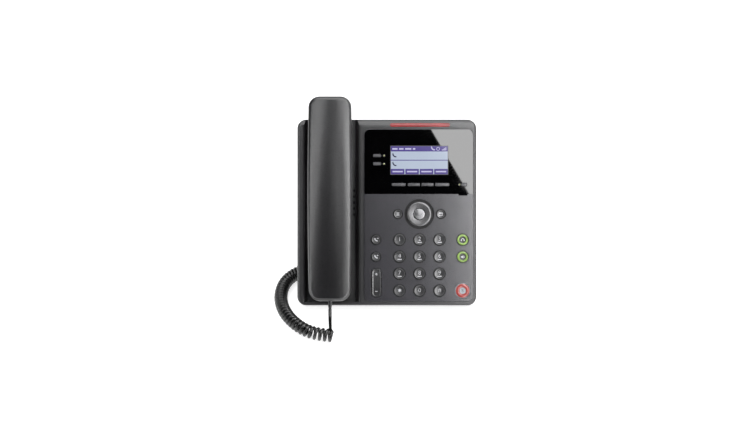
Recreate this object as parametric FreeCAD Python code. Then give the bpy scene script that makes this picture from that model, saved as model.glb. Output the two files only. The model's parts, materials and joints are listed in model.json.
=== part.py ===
import FreeCAD, Part
import math
import os

os.makedirs("parts", exist_ok=True)

# A desk telephone on its stand, in millimetres: +X to the user's right, +Y away from the
# user, +Z up, with the origin on the desk under the middle of the telephone.
# The console is drawn lying flat, with u to the right, v up the face and w out of the face,
# and is then tilted up onto its toe.

# Console housings
TILT = 45.0
BODY_W = 179.0
BODY_H = 186.0
BODY_D = 30.0
CORNER_R = 9.0
WALL = 2.2
PARTING = -16.0
RIM = -0.6
RIM_R = 2.4
ROLL_BACK = 9.0
ROLL_R = 12.0
BACK_TAPER = 4.0
BACK_EDGE_R = 3.0
GAP = 0.2
OVERCUT = 1.0
NEAR = 0.01

# How it stands
TOE_Y = -48.3
TOE_FLAT_H = 7.0
FOOT_STAND = 1.5
FOOT_SUNK = 1.0

# Cradle for the handset
CRADLE_LEFT_GAP = 0.45
CRADLE_RIGHT_GAP = 3.55
CRADLE_FOOT_GAP = 1.0
TROUGH_FLOOR = -9.0
TROUGH_SLOPE = 3.0
TROUGH_FLOOR_R = 2.0
TROUGH_LIP_R = 3.0
HANDSET_U = 32.7
EAR_V = 170.0
EAR_RING_R = 13.0
MOUTH_V = 30.0
MOUTH_RING_R = 8.0
RING_DEPTH = 2.6
WELL_GAP = 1.0
WELL_DEPTH = 3.2
SPEAKER_U = 44.7
SPEAKER_V = 102.9
SPEAKER_R = 18.0
SPEAKER_D = 12.0
SPEAKER_HOLE_R = 1.3
SPEAKER_PITCH = 6.0
SPEAKER_REACH = 12.0
SPEAKER_COLUMNS = 3
SPEAKER_ROWS = 5
SPEAKER_RIM_T = 2.0
SPEAKER_HOLE_RISE = 4.0
PLUNGER_U = 48.0
PLUNGER_V = 152.0
PLUNGER_W = 9.0
PLUNGER_H = 5.0
PLUNGER_RISE = 4.0
PLUNGER_LIP = 1.2
PLUNGER_LIP_T = 1.2
PLUNGER_R = 1.3
PLUNGER_REST = 0.3
TAB_V = 147.0
TAB_W = 8.0
TAB_H = 9.0
TAB_T = 1.5
TAB_R = 0.8

# Face panel, lens and what lies under them
PANEL_LEFT = 66.7
PANEL_SIDE_RIM = 2.8
PANEL_FOOT = 4.0
PANEL_HEAD_RIM = 9.5
PANEL_R = 6.0
PANEL_T = 1.6
PANEL_EDGE_R = 0.4
SKIRT_T = 1.2
SKIRT_D = 4.0
LEDGE_T = 2.2
LEDGE_IN = 5.0
LENS_FOOT = 111.5
LENS_T = 1.5
LENS_RIM = 0.5
LENS_BED = 1.6
LENS_BED_LAP = 2.0
LENS_TAB_LEFT = 161.2
LENS_TAB_RIGHT = 170.2
LENS_TAB_FOOT = 110.0
LCD_LEFT = 93.0
LCD_RIGHT = 151.0
LCD_FOOT = 130.7
LCD_HEAD = 159.8
LCD_BORDER = 4.0
LCD_T = 3.2
LCD_R = 1.0
KEYMAT_T = 1.3
BOARD_T = 1.6
BOARD_LAP = 2.0
BOARD_R = 2.0
LIGHT_LEFT = 92.8
LIGHT_RIGHT = 152.7
LIGHT_RIM = 5.4
LIGHT_H = 3.6
LIGHT_D = 4.2

# Keys: every cap slides in a hole of the panel, held by a lip under it
KEY_PROUD = 1.5
KEY_DOME = 0.6
KEY_GAP = 0.55
KEY_LIP = 0.8
KEY_LIP_T = 1.0
KEY_SEAT = 0.2
KEY_WALL = 1.5
KEY_ROOF = 1.7
KEY_TRAVEL = 1.2
DIAL_U = (102.0, 122.05, 142.1)
DIAL_V = (65.7, 48.65, 31.7, 14.8)
DIAL_CAP_R = 5.85
DIAL_NAMES = (
    ("key_1", "key_2", "key_3"),
    ("key_4", "key_5", "key_6"),
    ("key_7", "key_8", "key_9"),
    ("key_star", "key_0", "key_hash"),
)
FEATURE_U = 78.6
FEATURE_CAP_R = 4.8
SIDE_KEY_REACH = 21.5
SIDE_KEY_CAP_R = 4.55
LIT_U = 165.4
LIT_CAP_R = 5.9
MUTE_CAP_R = 7.5
LIGHT_RING_RIM = 0.5
LIGHT_RING_CORE_R = 3.3
LIGHT_RING_T = 1.0
ROCKER_U = 79.1
ROCKER_V = 22.7
ROCKER_W = 9.5
ROCKER_H = 28.5
ROCKER_TURN = 3.0
ROCKER_CROWN_R = 60.0
BAR_H = 3.2
BAR_GAP = 0.25
BAR_LIP = 0.8
BAR_TRAVEL = 0.8
BAR_R = 0.8
BAR_HOLE_R = 1.0
SOFT_V = 120.9
SOFT_KEYS = ((94.5, 108.5), (110.5, 122.6), (124.2, 136.3), (137.9, 151.9))
LINE_U = 79.7
LINE_W = 8.0
LINE_V = (149.9, 141.7)
BACK_KEY_U = 166.9
BACK_KEY_W = 5.4
LAMP_U = 86.9
LAMP_R = 1.3
BACK_LAMP_U = 162.2

# Navigation ring
NAV_U = 122.05
NAV_V = 91.4
NAV_HOLE_R = 14.9
NAV_RING_R = 12.9
NAV_BORE_R = 6.1
NAV_LIP = 0.4
NAV_LIP_TOP = -2.9
NAV_LIP_T = 1.0
NAV_LIP_ROOT = 2.0
NAV_UNDERSIDE = -3.6
NAV_PROUD = 1.9
NAV_DOME = 0.9
NAV_PIVOT_R = 9.0
NAV_PIVOT_BORE_R = 4.4
NAV_PIVOT_TOP = -4.3
NAV_PIVOT_T = 1.5
NAV_MAT_HOLE_R = 10.5
NAV_OK_R = 5.35
NAV_OK_STEM_R = 3.6
NAV_OK_PROUD = 1.2
NAV_OK_TRAVEL = 0.9

# Port bay in the back and the jacks in it
BAY_LEFT = 68.0
BAY_RIGHT = 152.0
BAY_FOOT = 38.0
BAY_HEAD = 78.0
BAY_FLOOR = -11.0
BAY_R = 4.0
NETWORK_U = (116.0, 136.0)
NETWORK_W = 16.0
NETWORK_H = 13.4
NETWORK_L = 17.0
NETWORK_MOUTH = (11.8, 8.2, 13.0)
NETWORK_LATCH = (6.4, 1.6, 8.0)
CORD_JACK_U = (90.0, 75.0)
CORD_JACK_W = 11.0
CORD_JACK_H = 11.0
CORD_JACK_L = 14.0
CORD_JACK_MOUTH = (8.0, 6.8, 11.0)
MOUTH_DROP = 3.4
PLUG_W = 7.7
PLUG_H = 6.4
PLUG_L = 10.6
PLUG_BOOT_L = 8.0
PLUG_BOOT_R = 2.6

# Screws
SCREW_LEFT_U = 65.0
SCREW_SIDE_RIM = 6.2
SCREW_FOOT_V = 12.0
SCREW_HEAD_RIM = 13.0
SCREW_R = 1.15
SCREW_HEAD_R = 2.6
SCREW_HEAD_T = 1.9
SCREW_BITE = 5.9
SCREW_SUNK = 1.0
BOSS_R = 3.0

# Desk stand
LEG_U = (40.0, 133.0)
LEG_T = 6.0
LEG_WEB = 8.0
LEG_HOLE_R = 5.0
PLATE_FOOT = 92.0
PLATE_HEAD = 158.0
PLATE_T = 4.0
BASE_FRONT = 39.5
BASE_BACK = 67.5
BASE_T = 5.0
HOOK_U = (66.0, 113.0)
HOOK_V = 140.0
HOOK_W = 10.0
HOOK_T = 3.0
HOOK_LIP = 3.0

# Rubber feet
TOE_FOOT_L = 34.0
TOE_FOOT_W = 8.0
TOE_FOOT_U = (34.0, 145.0)
BASE_FOOT_L = 18.0
BASE_FOOT_W = 12.0

# Handset
HANDSET_FOOT = 4.5
HANDSET_HEAD = 208.8
HANDSET_FOOT_W = 42.0
HANDSET_MID_W = 44.5
HANDSET_HEAD_W = 42.6
HANDSET_MID_V = 125.0
HANDSET_FOOT_R = 12.0
HANDSET_HEAD_R = 11.0
HANDSET_SPLIT = 10.0
HANDSET_SPLIT_GAP = 0.1
HANDSET_CROWN = (21.0, 27.0, 20.0)
HANDSET_SIDE_DROP = 4.5
HANDSET_EDGE_R = 4.5
HANDSET_WALL = 2.2
PAD_W = -8.7
GRIP_W = 6.0
MOUTH_PAD = (8.0, 48.0)
GRIP_SPAN = (62.0, 136.0)
EAR_PAD = (147.0, 199.0)
HEEL_W = 0.0
PAD_BEND_R = 5.0
RECEIVER_R = 12.0
RECEIVER_T = 7.0
RECEIVER_STEP = 4.0
RECEIVER_STEP_T = 2.0
MICROPHONE_R = 5.0
MICROPHONE_T = 5.5
SLOT_H = 1.6
SLOT_R = 0.7
SLOT_PITCH = 3.6
EAR_SLOTS = (12.0, 5)
MOUTH_SLOTS = (7.0, 2)
EXIT_DEPTH = 6.0
EXIT_W = 4.0

# Cord: wire and coil sizes, and the routes as points on the desk, chosen by hand
CORD_R = 1.5
COIL_R = 6.25
HANDSET_LEAD = (
    (-56.8, -74.82, 16.06),
    (-56.75, -79.1, 11.8),
    (-56.65, -85.4, 10.2),
    (-56.5, -92.1, 10.4),
    (-56.35, -98.7, 11.0),
)
COIL_ROUTE = (
    (-54.5, -103.1, 6.3),
    (-70.5, -101.1, 6.3),
    (-84.0, -93.9, 6.3),
    (-94.8, -82.7, 6.3),
    (-101.8, -71.1, 6.3),
    (-105.6, -59.1, 6.3),
    (-106.5, -47.5, 6.3),
    (-104.9, -36.5, 6.3),
    (-101.0, -26.7, 6.3),
    (-94.3, -18.7, 6.3),
    (-85.2, -12.4, 6.3),
    (-74.0, -7.1, 6.3),
    (-61.6, -3.5, 6.3),
    (-48.6, -1.2, 6.3),
    (-35.6, -0.6, 6.3),
    (-22.6, -1.5, 6.3),
    (-10.4, -3.5, 6.3),
    (-3.0, -5.7, 6.3),
)
BASE_LEAD = (
    (-4.3, -10.3, 7.8),
    (-4.1, -10.7, 14.4),
    (-3.2, -10.7, 20.6),
    (-2.0, -11.7, 26.4),
    (-0.8, -14.1, 32.4),
    (0.1, -16.7, 39.0),
    (0.45, -16.7, 45.4),
    (0.5, -13.6, 50.5),
    (0.5, -9.48, 54.67),
)

# Edges that follow the overall sizes
ROLL_V = BODY_H - ROLL_BACK
PANEL_RIGHT = BODY_W - PANEL_SIDE_RIM
PANEL_HEAD = BODY_H - PANEL_HEAD_RIM
LIGHT_V = BODY_H - LIGHT_RIM
HANDSET_WIDEST = max(HANDSET_FOOT_W, HANDSET_MID_W, HANDSET_HEAD_W)
TROUGH_LEFT = HANDSET_U - HANDSET_WIDEST / 2.0 - CRADLE_LEFT_GAP
TROUGH_RIGHT = HANDSET_U + HANDSET_WIDEST / 2.0 + CRADLE_RIGHT_GAP
TROUGH_FOOT = HANDSET_FOOT - CRADLE_FOOT_GAP
SCREW_RIGHT_U = BODY_W - SCREW_SIDE_RIM
SCREW_SPOTS = [
    (u, v) for u in (SCREW_LEFT_U, SCREW_RIGHT_U) for v in (SCREW_FOOT_V, BODY_H - SCREW_HEAD_RIM)
]
BOARD_RIGHT = SCREW_RIGHT_U - BOSS_R - 2 * GAP

# Levels through the console, from the face down
PANEL_UNDER = -PANEL_T
LENS_UNDER = -LENS_T
BED_UNDER = LENS_UNDER - LENS_BED
LCD_TOP = BED_UNDER - GAP / 2.0
LEDGE_TOP = -SKIRT_D - GAP
LEDGE_UNDER = LEDGE_TOP - LEDGE_T
BOARD_TOP = LEDGE_UNDER - GAP / 2.0
BOARD_UNDER = BOARD_TOP - BOARD_T
KEYMAT_UNDER = BOARD_TOP + GAP / 2.0
KEYMAT_TOP = KEYMAT_UNDER + KEYMAT_T
KEY_LIP_TOP = PANEL_UNDER - KEY_SEAT
KEY_LIP_UNDER = KEY_LIP_TOP - KEY_LIP_T
KEY_HOLLOW = KEY_PROUD - KEY_ROOF
LIT_KEY_HOLLOW = KEY_PROUD - KEY_DOME - LIGHT_RING_T - KEY_WALL
NAV_OK_UNDER = NAV_PIVOT_TOP + NAV_OK_TRAVEL + 2 * GAP
BAR_PROUD = BAR_TRAVEL - GAP / 2.0
TROUGH_UNDER = TROUGH_FLOOR - WALL
TOE_DROP = TOE_FLAT_H - FOOT_STAND
SINE = math.sin(math.radians(TILT))
COSINE = math.cos(math.radians(TILT))
STANDING = FreeCAD.Placement(
    FreeCAD.Vector(-BODY_W / 2.0, TOE_Y - BODY_D * SINE, BODY_D * COSINE - TOE_DROP),
    FreeCAD.Rotation(FreeCAD.Vector(1, 0, 0), TILT),
)


def stand_up(shape):
    """Tilts a shape drawn flat into its place on the desk."""
    return shape.transformed(STANDING.toMatrix(), True)


def lay_flat(shape):
    """Turns a shape drawn on the desk into the flat frame of the console."""
    return shape.transformed(STANDING.inverse().toMatrix(), True)


def slab(u0, v0, u1, v1, w0, w1, radius=0.0):
    """Upright block, with its four corners rounded in plan."""
    block = Part.makeBox(u1 - u0, v1 - v0, w1 - w0, FreeCAD.Vector(u0, v0, w0))
    if radius > 0.0:
        uprights = [e for e in block.Edges if e.BoundBox.ZLength > 0.5 * (w1 - w0)]
        block = block.makeFillet(radius, uprights)
    return block


def centred_slab(u, v, width, height, w0, w1, radius=0.0):
    """Upright block about a point of the face."""
    return slab(u - width / 2.0, v - height / 2.0, u + width / 2.0, v + height / 2.0, w0, w1, radius)


def disc(u, v, radius, w0, w1):
    """Upright cylinder between two levels."""
    return Part.makeCylinder(radius, w1 - w0, FreeCAD.Vector(u, v, w0))


def domed(u, v, radius, w0, w1, sag):
    """Upright cylinder whose top falls by sag from its middle to its edge."""
    ball_r = (radius ** 2 + sag ** 2) / (2.0 * sag)
    ball = Part.makeSphere(ball_r, FreeCAD.Vector(u, v, w1 - ball_r))
    return disc(u, v, radius, w0, w1).common(ball)


def outline(start, steps):
    """Face inside a closed outline: a point is a straight step, a pair is an arc through the first."""
    edges = []
    here = start
    for step in steps:
        if isinstance(step, tuple):
            middle, there = step
            edges.append(Part.Arc(here, middle, there).toShape())
        else:
            there = step
            edges.append(Part.makeLine(here, there))
        here = there
    return Part.Face(Part.Wire(edges))


def rounded_wire(u0, v0, u1, v1, w, radius):
    """Closed outline of a rounded rectangle at one level."""
    block = slab(u0, v0, u1, v1, w - OVERCUT, w, radius)
    return max(block.Faces, key=lambda face: face.CenterOfMass.z).OuterWire


def fused(shapes):
    """One shape from several that touch."""
    first, *rest = shapes
    return first.fuse(rest).removeSplitter()


def roll(v, inset):
    """Height of the rolled top edge of the front housing."""
    radius = ROLL_R - inset
    return RIM - ROLL_R + math.sqrt(radius ** 2 - (v - ROLL_V) ** 2)


def front_form(inset):
    """Form of the front housing, or of its inside at an inset."""
    plan = slab(inset, inset, BODY_W - inset, BODY_H - inset, PARTING, RIM + OVERCUT, CORNER_R - inset)
    end = BODY_H - inset
    middle = (ROLL_V + end) / 2.0
    profile = outline(
        FreeCAD.Vector(0, 0, PARTING),
        [
            FreeCAD.Vector(0, 0, RIM - inset),
            FreeCAD.Vector(0, ROLL_V, RIM - inset),
            (FreeCAD.Vector(0, middle, roll(middle, inset)), FreeCAD.Vector(0, end, roll(end, inset))),
            FreeCAD.Vector(0, end, PARTING),
            FreeCAD.Vector(0, 0, PARTING),
        ],
    )
    return plan.common(profile.extrude(FreeCAD.Vector(BODY_W, 0, 0)))


def trough_side(wall_u, floor, outward):
    """Side of the cradle in section: a leaning wall that rolls over into the rim of the housing."""
    lean = TROUGH_SLOPE / (RIM - TROUGH_FLOOR)
    steep = math.hypot(1.0, lean)
    centre_w = RIM - TROUGH_LIP_R
    centre_u = wall_u + outward * (lean * (centre_w - floor) + TROUGH_LIP_R * steep)
    half_turn = (math.pi - math.atan(lean)) / 4.0
    places = [(wall_u, floor)]
    for turn in (0.0, half_turn, 2.0 * half_turn):
        angle = math.pi / 2.0 + 2.0 * half_turn - turn
        u = centre_u + outward * TROUGH_LIP_R * math.cos(angle)
        places.append((u, centre_w + TROUGH_LIP_R * math.sin(angle)))
    places.append((centre_u, RIM + TROUGH_LIP_R))
    return places


def trough(grow):
    """Channel that the handset lies in, with its two wells; grown, it is the outside of their walls."""
    floor = TROUGH_FLOOR - grow
    start = TROUGH_FOOT - grow
    right = [FreeCAD.Vector(u, start, w) for u, w in trough_side(TROUGH_RIGHT + grow, floor, 1.0)]
    left = [FreeCAD.Vector(u, start, w) for u, w in trough_side(TROUGH_LEFT - grow, floor, -1.0)]
    steps = [right[0], right[1], (right[2], right[3]), right[4]]
    steps += [left[4], left[3], (left[2], left[1]), left[0]]
    channel = outline(left[0], steps).extrude(FreeCAD.Vector(0, BODY_H, 0))
    long_edges = [e for e in channel.Edges if e.BoundBox.YLength > 0.9 * BODY_H]
    corners = [e for e in long_edges if e.BoundBox.ZMax < floor + NEAR]
    channel = channel.makeFillet(TROUGH_FLOOR_R, corners)
    for v, ring_r in ((EAR_V, EAR_RING_R), (MOUTH_V, MOUTH_RING_R)):
        well = disc(HANDSET_U, v, ring_r + WELL_GAP + grow, floor - WELL_DEPTH, floor + OVERCUT)
        channel = channel.fuse(well)
    return channel


def panel_slab(inset, w0, w1):
    """Block with the face panel's outline, drawn in by an inset."""
    return slab(
        PANEL_LEFT + inset,
        PANEL_FOOT + inset,
        PANEL_RIGHT - inset,
        PANEL_HEAD - inset,
        w0,
        w1,
        max(PANEL_R - inset, 1.0),
    )


def speaker_holes():
    """Pattern of sound holes in the floor of the cradle."""
    right = SPEAKER_U + SPEAKER_REACH
    foot = SPEAKER_V - (SPEAKER_ROWS - 1) / 2.0 * SPEAKER_PITCH
    holes = []
    for column in range(SPEAKER_COLUMNS):
        for row in range(SPEAKER_ROWS):
            u = right - column * SPEAKER_PITCH
            v = foot + row * SPEAKER_PITCH
            low = TROUGH_UNDER - OVERCUT
            holes.append(disc(u, v, SPEAKER_HOLE_R, low, TROUGH_FLOOR + SPEAKER_HOLE_RISE))
    return holes


def light_bar(gap):
    """Message light set flush in the rolled edge, or its slot with a gap."""
    radius = LIGHT_H / 2.0
    return slab(
        LIGHT_LEFT - gap,
        LIGHT_V - radius - gap,
        LIGHT_RIGHT + gap,
        LIGHT_V + radius + gap,
        RIM - LIGHT_D - gap,
        RIM + gap,
        radius + gap - 0.05,
    )


def message_light():
    """Red light pipe of the message light."""
    return light_bar(0.0).common(front_form(0.0))


def plunger_post(gap, w0, w1):
    """Post of the hook switch button, or its hole with a gap."""
    width = PLUNGER_W + 2 * gap
    height = PLUNGER_H + 2 * gap
    return centred_slab(PLUNGER_U, PLUNGER_V, width, height, w0, w1, PLUNGER_R + gap)


def tab_block(gap, top):
    """Hanger tab in the cradle floor, or its slot with a gap."""
    low = TROUGH_FLOOR - TAB_T
    return centred_slab(HANDSET_U, TAB_V, TAB_W + 2 * gap, TAB_H + 2 * gap, low, top, TAB_R + gap)


def front_housing():
    """Top shell with the cradle, the rolled edge and the opening for the face panel."""
    outer = front_form(0.0)
    rim = [e for e in outer.Edges if e.BoundBox.ZMin > PARTING / 2.0]
    rim = [e for e in rim if abs(e.CenterOfMass.y - ROLL_V) > NEAR]
    outer = outer.makeFillet(RIM_R, rim)
    ledge_block = panel_slab(-WALL, LEDGE_UNDER, RIM + OVERCUT)
    solid = outer.cut(front_form(WALL).cut([trough(WALL), ledge_block, light_bar(WALL)]))
    bosses = [disc(u, v, BOSS_R, PARTING, LEDGE_UNDER + 0.5) for u, v in SCREW_SPOTS]
    solid = solid.fuse([boss.cut(trough(0.0)) for boss in bosses])
    cuts = [
        trough(0.0),
        panel_slab(-GAP, LEDGE_TOP, RIM + OVERCUT),
        panel_slab(LEDGE_IN, LEDGE_UNDER - OVERCUT, LEDGE_TOP + OVERCUT),
        light_bar(GAP),
        plunger_post(GAP, PARTING, RIM),
        tab_block(GAP, RIM),
    ]
    cuts += speaker_holes()
    pilot_head = PARTING + SCREW_BITE + OVERCUT
    cuts += [disc(u, v, SCREW_R + GAP / 4.0, PARTING - OVERCUT, pilot_head) for u, v in SCREW_SPOTS]
    return solid.cut(cuts)


def rear_form(inset):
    """Tapered form of the rear housing, or of its inside at an inset."""
    back = -BODY_D + inset
    at_parting = rounded_wire(inset, inset, BODY_W - inset, BODY_H - inset, PARTING, CORNER_R - inset)
    at_back = rounded_wire(
        inset + BACK_TAPER,
        inset,
        BODY_W - inset - BACK_TAPER,
        BODY_H - inset - BACK_TAPER,
        back,
        CORNER_R - inset,
    )
    return Part.makeLoft([at_parting, at_back], True, True)


def below_toe(level):
    """Everything of the console that lies under a level above the desk."""
    reach = 4.0 * BODY_H
    return lay_flat(Part.makeBox(reach, reach, reach, FreeCAD.Vector(-reach / 2, -reach / 2, level - reach)))


def bay(grow):
    """Recess in the back for the jacks; grown, it is the outside of its walls."""
    return slab(
        BAY_LEFT - grow,
        BAY_FOOT - grow,
        BAY_RIGHT + grow,
        BAY_HEAD + grow,
        -BODY_D - OVERCUT,
        BAY_FLOOR + grow,
        BAY_R + grow,
    )


def jack_block(u, width, height, length, grow=0.0):
    """Outside of a jack that stands on the back of the board with its mouth in the bay."""
    low = BOARD_UNDER - height - grow
    return slab(u - width / 2.0 - grow, BAY_HEAD, u + width / 2.0 + grow, BAY_HEAD + length, low, BOARD_UNDER)


def jack_mouth(u, mouth):
    """Socket of a jack, open towards the foot of the console."""
    width, height, depth = mouth
    top = BOARD_UNDER - MOUTH_DROP
    return slab(u - width / 2.0, BAY_HEAD - OVERCUT, u + width / 2.0, BAY_HEAD + depth, top - height, top)


def network_jacks():
    """Two network sockets, each with its latch notch."""
    jacks = []
    for u in NETWORK_U:
        width, height, depth = NETWORK_LATCH
        low = BOARD_UNDER - MOUTH_DROP - NETWORK_MOUTH[1]
        foot = BAY_HEAD - OVERCUT
        notch = slab(u - width / 2.0, foot, u + width / 2.0, BAY_HEAD + depth, low - height, low)
        block = jack_block(u, NETWORK_W, NETWORK_H, NETWORK_L)
        jacks.append(block.cut([jack_mouth(u, NETWORK_MOUTH), notch]))
    return Part.makeCompound(jacks)


def cord_jacks():
    """Handset socket and headset socket."""
    jacks = []
    for u in CORD_JACK_U:
        block = jack_block(u, CORD_JACK_W, CORD_JACK_H, CORD_JACK_L)
        jacks.append(block.cut(jack_mouth(u, CORD_JACK_MOUTH)))
    return Part.makeCompound(jacks)


def plug(u, mouth_v, w):
    """Cord plug with its moulded boot, pushed upwards into a socket whose mouth is at mouth_v."""
    body = slab(u - PLUG_W / 2, mouth_v, u + PLUG_W / 2, mouth_v + PLUG_L, w - PLUG_H / 2, w + PLUG_H / 2)
    foot = FreeCAD.Vector(u, mouth_v - PLUG_BOOT_L, w)
    boot = Part.makeCone(CORD_R, PLUG_BOOT_R, PLUG_BOOT_L, foot, FreeCAD.Vector(0, 1, 0))
    return body.fuse(boot)


def hooks():
    """Two hooks of the desk stand that catch behind the back wall."""
    shapes = []
    for u in HOOK_U:
        left = u - HOOK_W / 2
        right = u + HOOK_W / 2
        top = -BODY_D + WALL + HOOK_T + GAP
        stem = slab(left, HOOK_V - HOOK_T, right, HOOK_V, -BODY_D - PLATE_T / 2, top)
        lip = slab(left, HOOK_V - HOOK_T, right, HOOK_V + HOOK_LIP, top - HOOK_T, top)
        shapes.append(stem.fuse(lip))
    return shapes


def hook_slots():
    """Slots in the back wall that the hooks pass through."""
    slots = []
    for u in HOOK_U:
        slot = slab(
            u - HOOK_W / 2 - GAP,
            HOOK_V - HOOK_T - GAP,
            u + HOOK_W / 2 + GAP,
            HOOK_V + HOOK_LIP + GAP,
            -BODY_D - OVERCUT,
            -BODY_D + WALL + OVERCUT,
        )
        slots.append(slot)
    return slots


def toe_feet(gap):
    """Rubber strips under the toe, or their pockets with a gap."""
    feet = []
    for u in TOE_FOOT_U:
        x = u - BODY_W / 2.0
        length = TOE_FOOT_L + 2 * gap
        width = TOE_FOOT_W + 2 * gap
        y = TOE_Y - width / 2.0
        block = Part.makeBox(length, width, FOOT_STAND + FOOT_SUNK, FreeCAD.Vector(x - length / 2.0, y, 0))
        feet.append(block)
    return feet


def rear_housing():
    """Back tub with its flat toe, the port bay, screw bosses and slots for the stand."""
    outer = rear_form(0.0)
    back_edges = [e for e in outer.Edges if e.BoundBox.ZMax < -BODY_D + NEAR]
    outer = outer.makeFillet(BACK_EDGE_R, back_edges)
    outer = outer.cut(below_toe(FOOT_STAND))
    inner = rear_form(WALL).cut([bay(WALL), below_toe(FOOT_STAND + FOOT_SUNK + WALL)])
    bosses = [disc(u, v, BOSS_R, -BODY_D, PARTING) for u, v in SCREW_SPOTS]
    solid = outer.cut(inner.cut(bosses))
    solid = solid.fuse(bay(WALL).common(slab(0, 0, BODY_W, BODY_H, PARTING, 0)))
    cuts = [bay(0.0)]
    for u in NETWORK_U:
        cuts.append(jack_block(u, NETWORK_W, NETWORK_H, NETWORK_L, GAP))
    for u in CORD_JACK_U:
        cuts.append(jack_block(u, CORD_JACK_W, CORD_JACK_H, CORD_JACK_L, GAP))
    for u, v in SCREW_SPOTS:
        low = -BODY_D - OVERCUT
        cuts.append(disc(u, v, SCREW_R + GAP, low, PARTING + OVERCUT))
        cuts.append(disc(u, v, SCREW_HEAD_R + GAP, low, -BODY_D + SCREW_HEAD_T + SCREW_SUNK))
    cuts += hook_slots()
    cuts += [lay_flat(foot) for foot in toe_feet(GAP / 2.0)]
    return solid.cut(cuts)


def housing_screws():
    """Screws that hold the two housings together."""
    screws = []
    for u, v in SCREW_SPOTS:
        seat = -BODY_D + SCREW_HEAD_T + SCREW_SUNK
        head = disc(u, v, SCREW_HEAD_R, seat - SCREW_HEAD_T, seat)
        screws.append(head.fuse(disc(u, v, SCREW_R, seat, PARTING + SCREW_BITE)))
    return Part.makeCompound(screws)


def lens_slab(gap, w0, w1):
    """Outline of the lens with its small tab, or of its recess with a gap."""
    inset = LENS_RIM - gap
    glass = slab(
        PANEL_LEFT + inset,
        LENS_FOOT - gap,
        PANEL_RIGHT - inset,
        PANEL_HEAD - inset,
        w0,
        w1,
        PANEL_R - LENS_RIM,
    )
    square = slab(PANEL_LEFT + inset, LENS_FOOT - gap, PANEL_RIGHT - inset, LENS_FOOT + PANEL_R, w0, w1)
    tab = slab(LENS_TAB_LEFT - gap, LENS_TAB_FOOT - gap, LENS_TAB_RIGHT + gap, LENS_FOOT + PANEL_R, w0, w1)
    return fused([glass, square, tab])


def lens_key_spots():
    """Name, middle and size of every bar key in the lens."""
    spots = []
    for number, (left, right) in enumerate(SOFT_KEYS, 1):
        spots.append((f"softkey_{number}", (left + right) / 2.0, SOFT_V, right - left))
    for number, v in enumerate(LINE_V, 1):
        spots.append((f"line_key_{number}", LINE_U, v, LINE_W))
    spots.append(("back_key", BACK_KEY_U, SOFT_V, BACK_KEY_W))
    return spots


def lamp_spots():
    """Middles of the small indicator lights in the lens."""
    return [(LAMP_U, v) for v in LINE_V] + [(BACK_LAMP_U, SOFT_V)]


def lens_holes():
    """Holes through the lens and its bed for the bar keys and the indicator lights."""
    holes = []
    low = BED_UNDER - OVERCUT
    height = BAR_H + 2 * BAR_GAP
    for _, u, v, width in lens_key_spots():
        holes.append(centred_slab(u, v, width + 2 * BAR_GAP, height, low, OVERCUT, BAR_HOLE_R))
    for u, v in lamp_spots():
        holes.append(disc(u, v, LAMP_R + GAP / 2.0, low, OVERCUT))
    return holes


def display_lens():
    """Gloss window over the display."""
    return lens_slab(0.0, LENS_UNDER, 0.0).cut(lens_holes())


def round_key_spots():
    """Name, middle and cap radius of every round key in the panel."""
    spots = []
    for v, names in zip(DIAL_V, DIAL_NAMES):
        spots += [(name, u, v, DIAL_CAP_R) for name, u in zip(names, DIAL_U)]
    spots.append(("hold_key", FEATURE_U, DIAL_V[0], FEATURE_CAP_R))
    spots.append(("transfer_key", FEATURE_U, DIAL_V[1], FEATURE_CAP_R))
    spots.append(("menu_key", NAV_U - SIDE_KEY_REACH, NAV_V, SIDE_KEY_CAP_R))
    spots.append(("messages_key", NAV_U + SIDE_KEY_REACH, NAV_V, SIDE_KEY_CAP_R))
    return spots


def lit_key_spots():
    """Name, middle and cap radius of every key with a light ring."""
    return [
        ("headset_key", LIT_U, DIAL_V[0], LIT_CAP_R),
        ("speaker_key", LIT_U, DIAL_V[1], LIT_CAP_R),
        ("mute_key", LIT_U, DIAL_V[3], MUTE_CAP_R),
    ]


def rocker_block(gap, w0, w1):
    """Upright block of the volume rocker with its round ends, or its slot with a gap."""
    width = ROCKER_W + 2 * gap
    return centred_slab(ROCKER_U, ROCKER_V, width, ROCKER_H + 2 * gap, w0, w1, width / 2.0 - GAP / 2.0)


def face_panel():
    """Raised plate with its skirt, the bed of the lens and the holes of the keys."""
    block = panel_slab(0.0, -SKIRT_D, 0.0)
    block = block.makeFillet(PANEL_EDGE_R, [e for e in block.Edges if e.BoundBox.ZMin > -NEAR])
    hollow = panel_slab(SKIRT_T, -SKIRT_D, PANEL_UNDER)
    bed = panel_slab(0.0, BED_UNDER, PANEL_UNDER).common(
        slab(PANEL_LEFT, LENS_TAB_FOOT - LENS_BED_LAP, PANEL_RIGHT, PANEL_HEAD, BED_UNDER, PANEL_UNDER)
    )
    solid = fused([block.cut(hollow), bed])
    low = PANEL_UNDER - OVERCUT
    cuts = [lens_slab(GAP / 2.0, LENS_UNDER, OVERCUT)]
    cuts.append(slab(LCD_LEFT, LCD_FOOT, LCD_RIGHT, LCD_HEAD, BED_UNDER - OVERCUT, OVERCUT))
    for _, u, v, radius in round_key_spots() + lit_key_spots():
        cuts.append(disc(u, v, radius + KEY_GAP, low, OVERCUT))
    cuts.append(disc(NAV_U, NAV_V, NAV_HOLE_R, low, OVERCUT))
    cuts.append(rocker_block(KEY_GAP, low, OVERCUT))
    return solid.cut(cuts + lens_holes())


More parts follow.
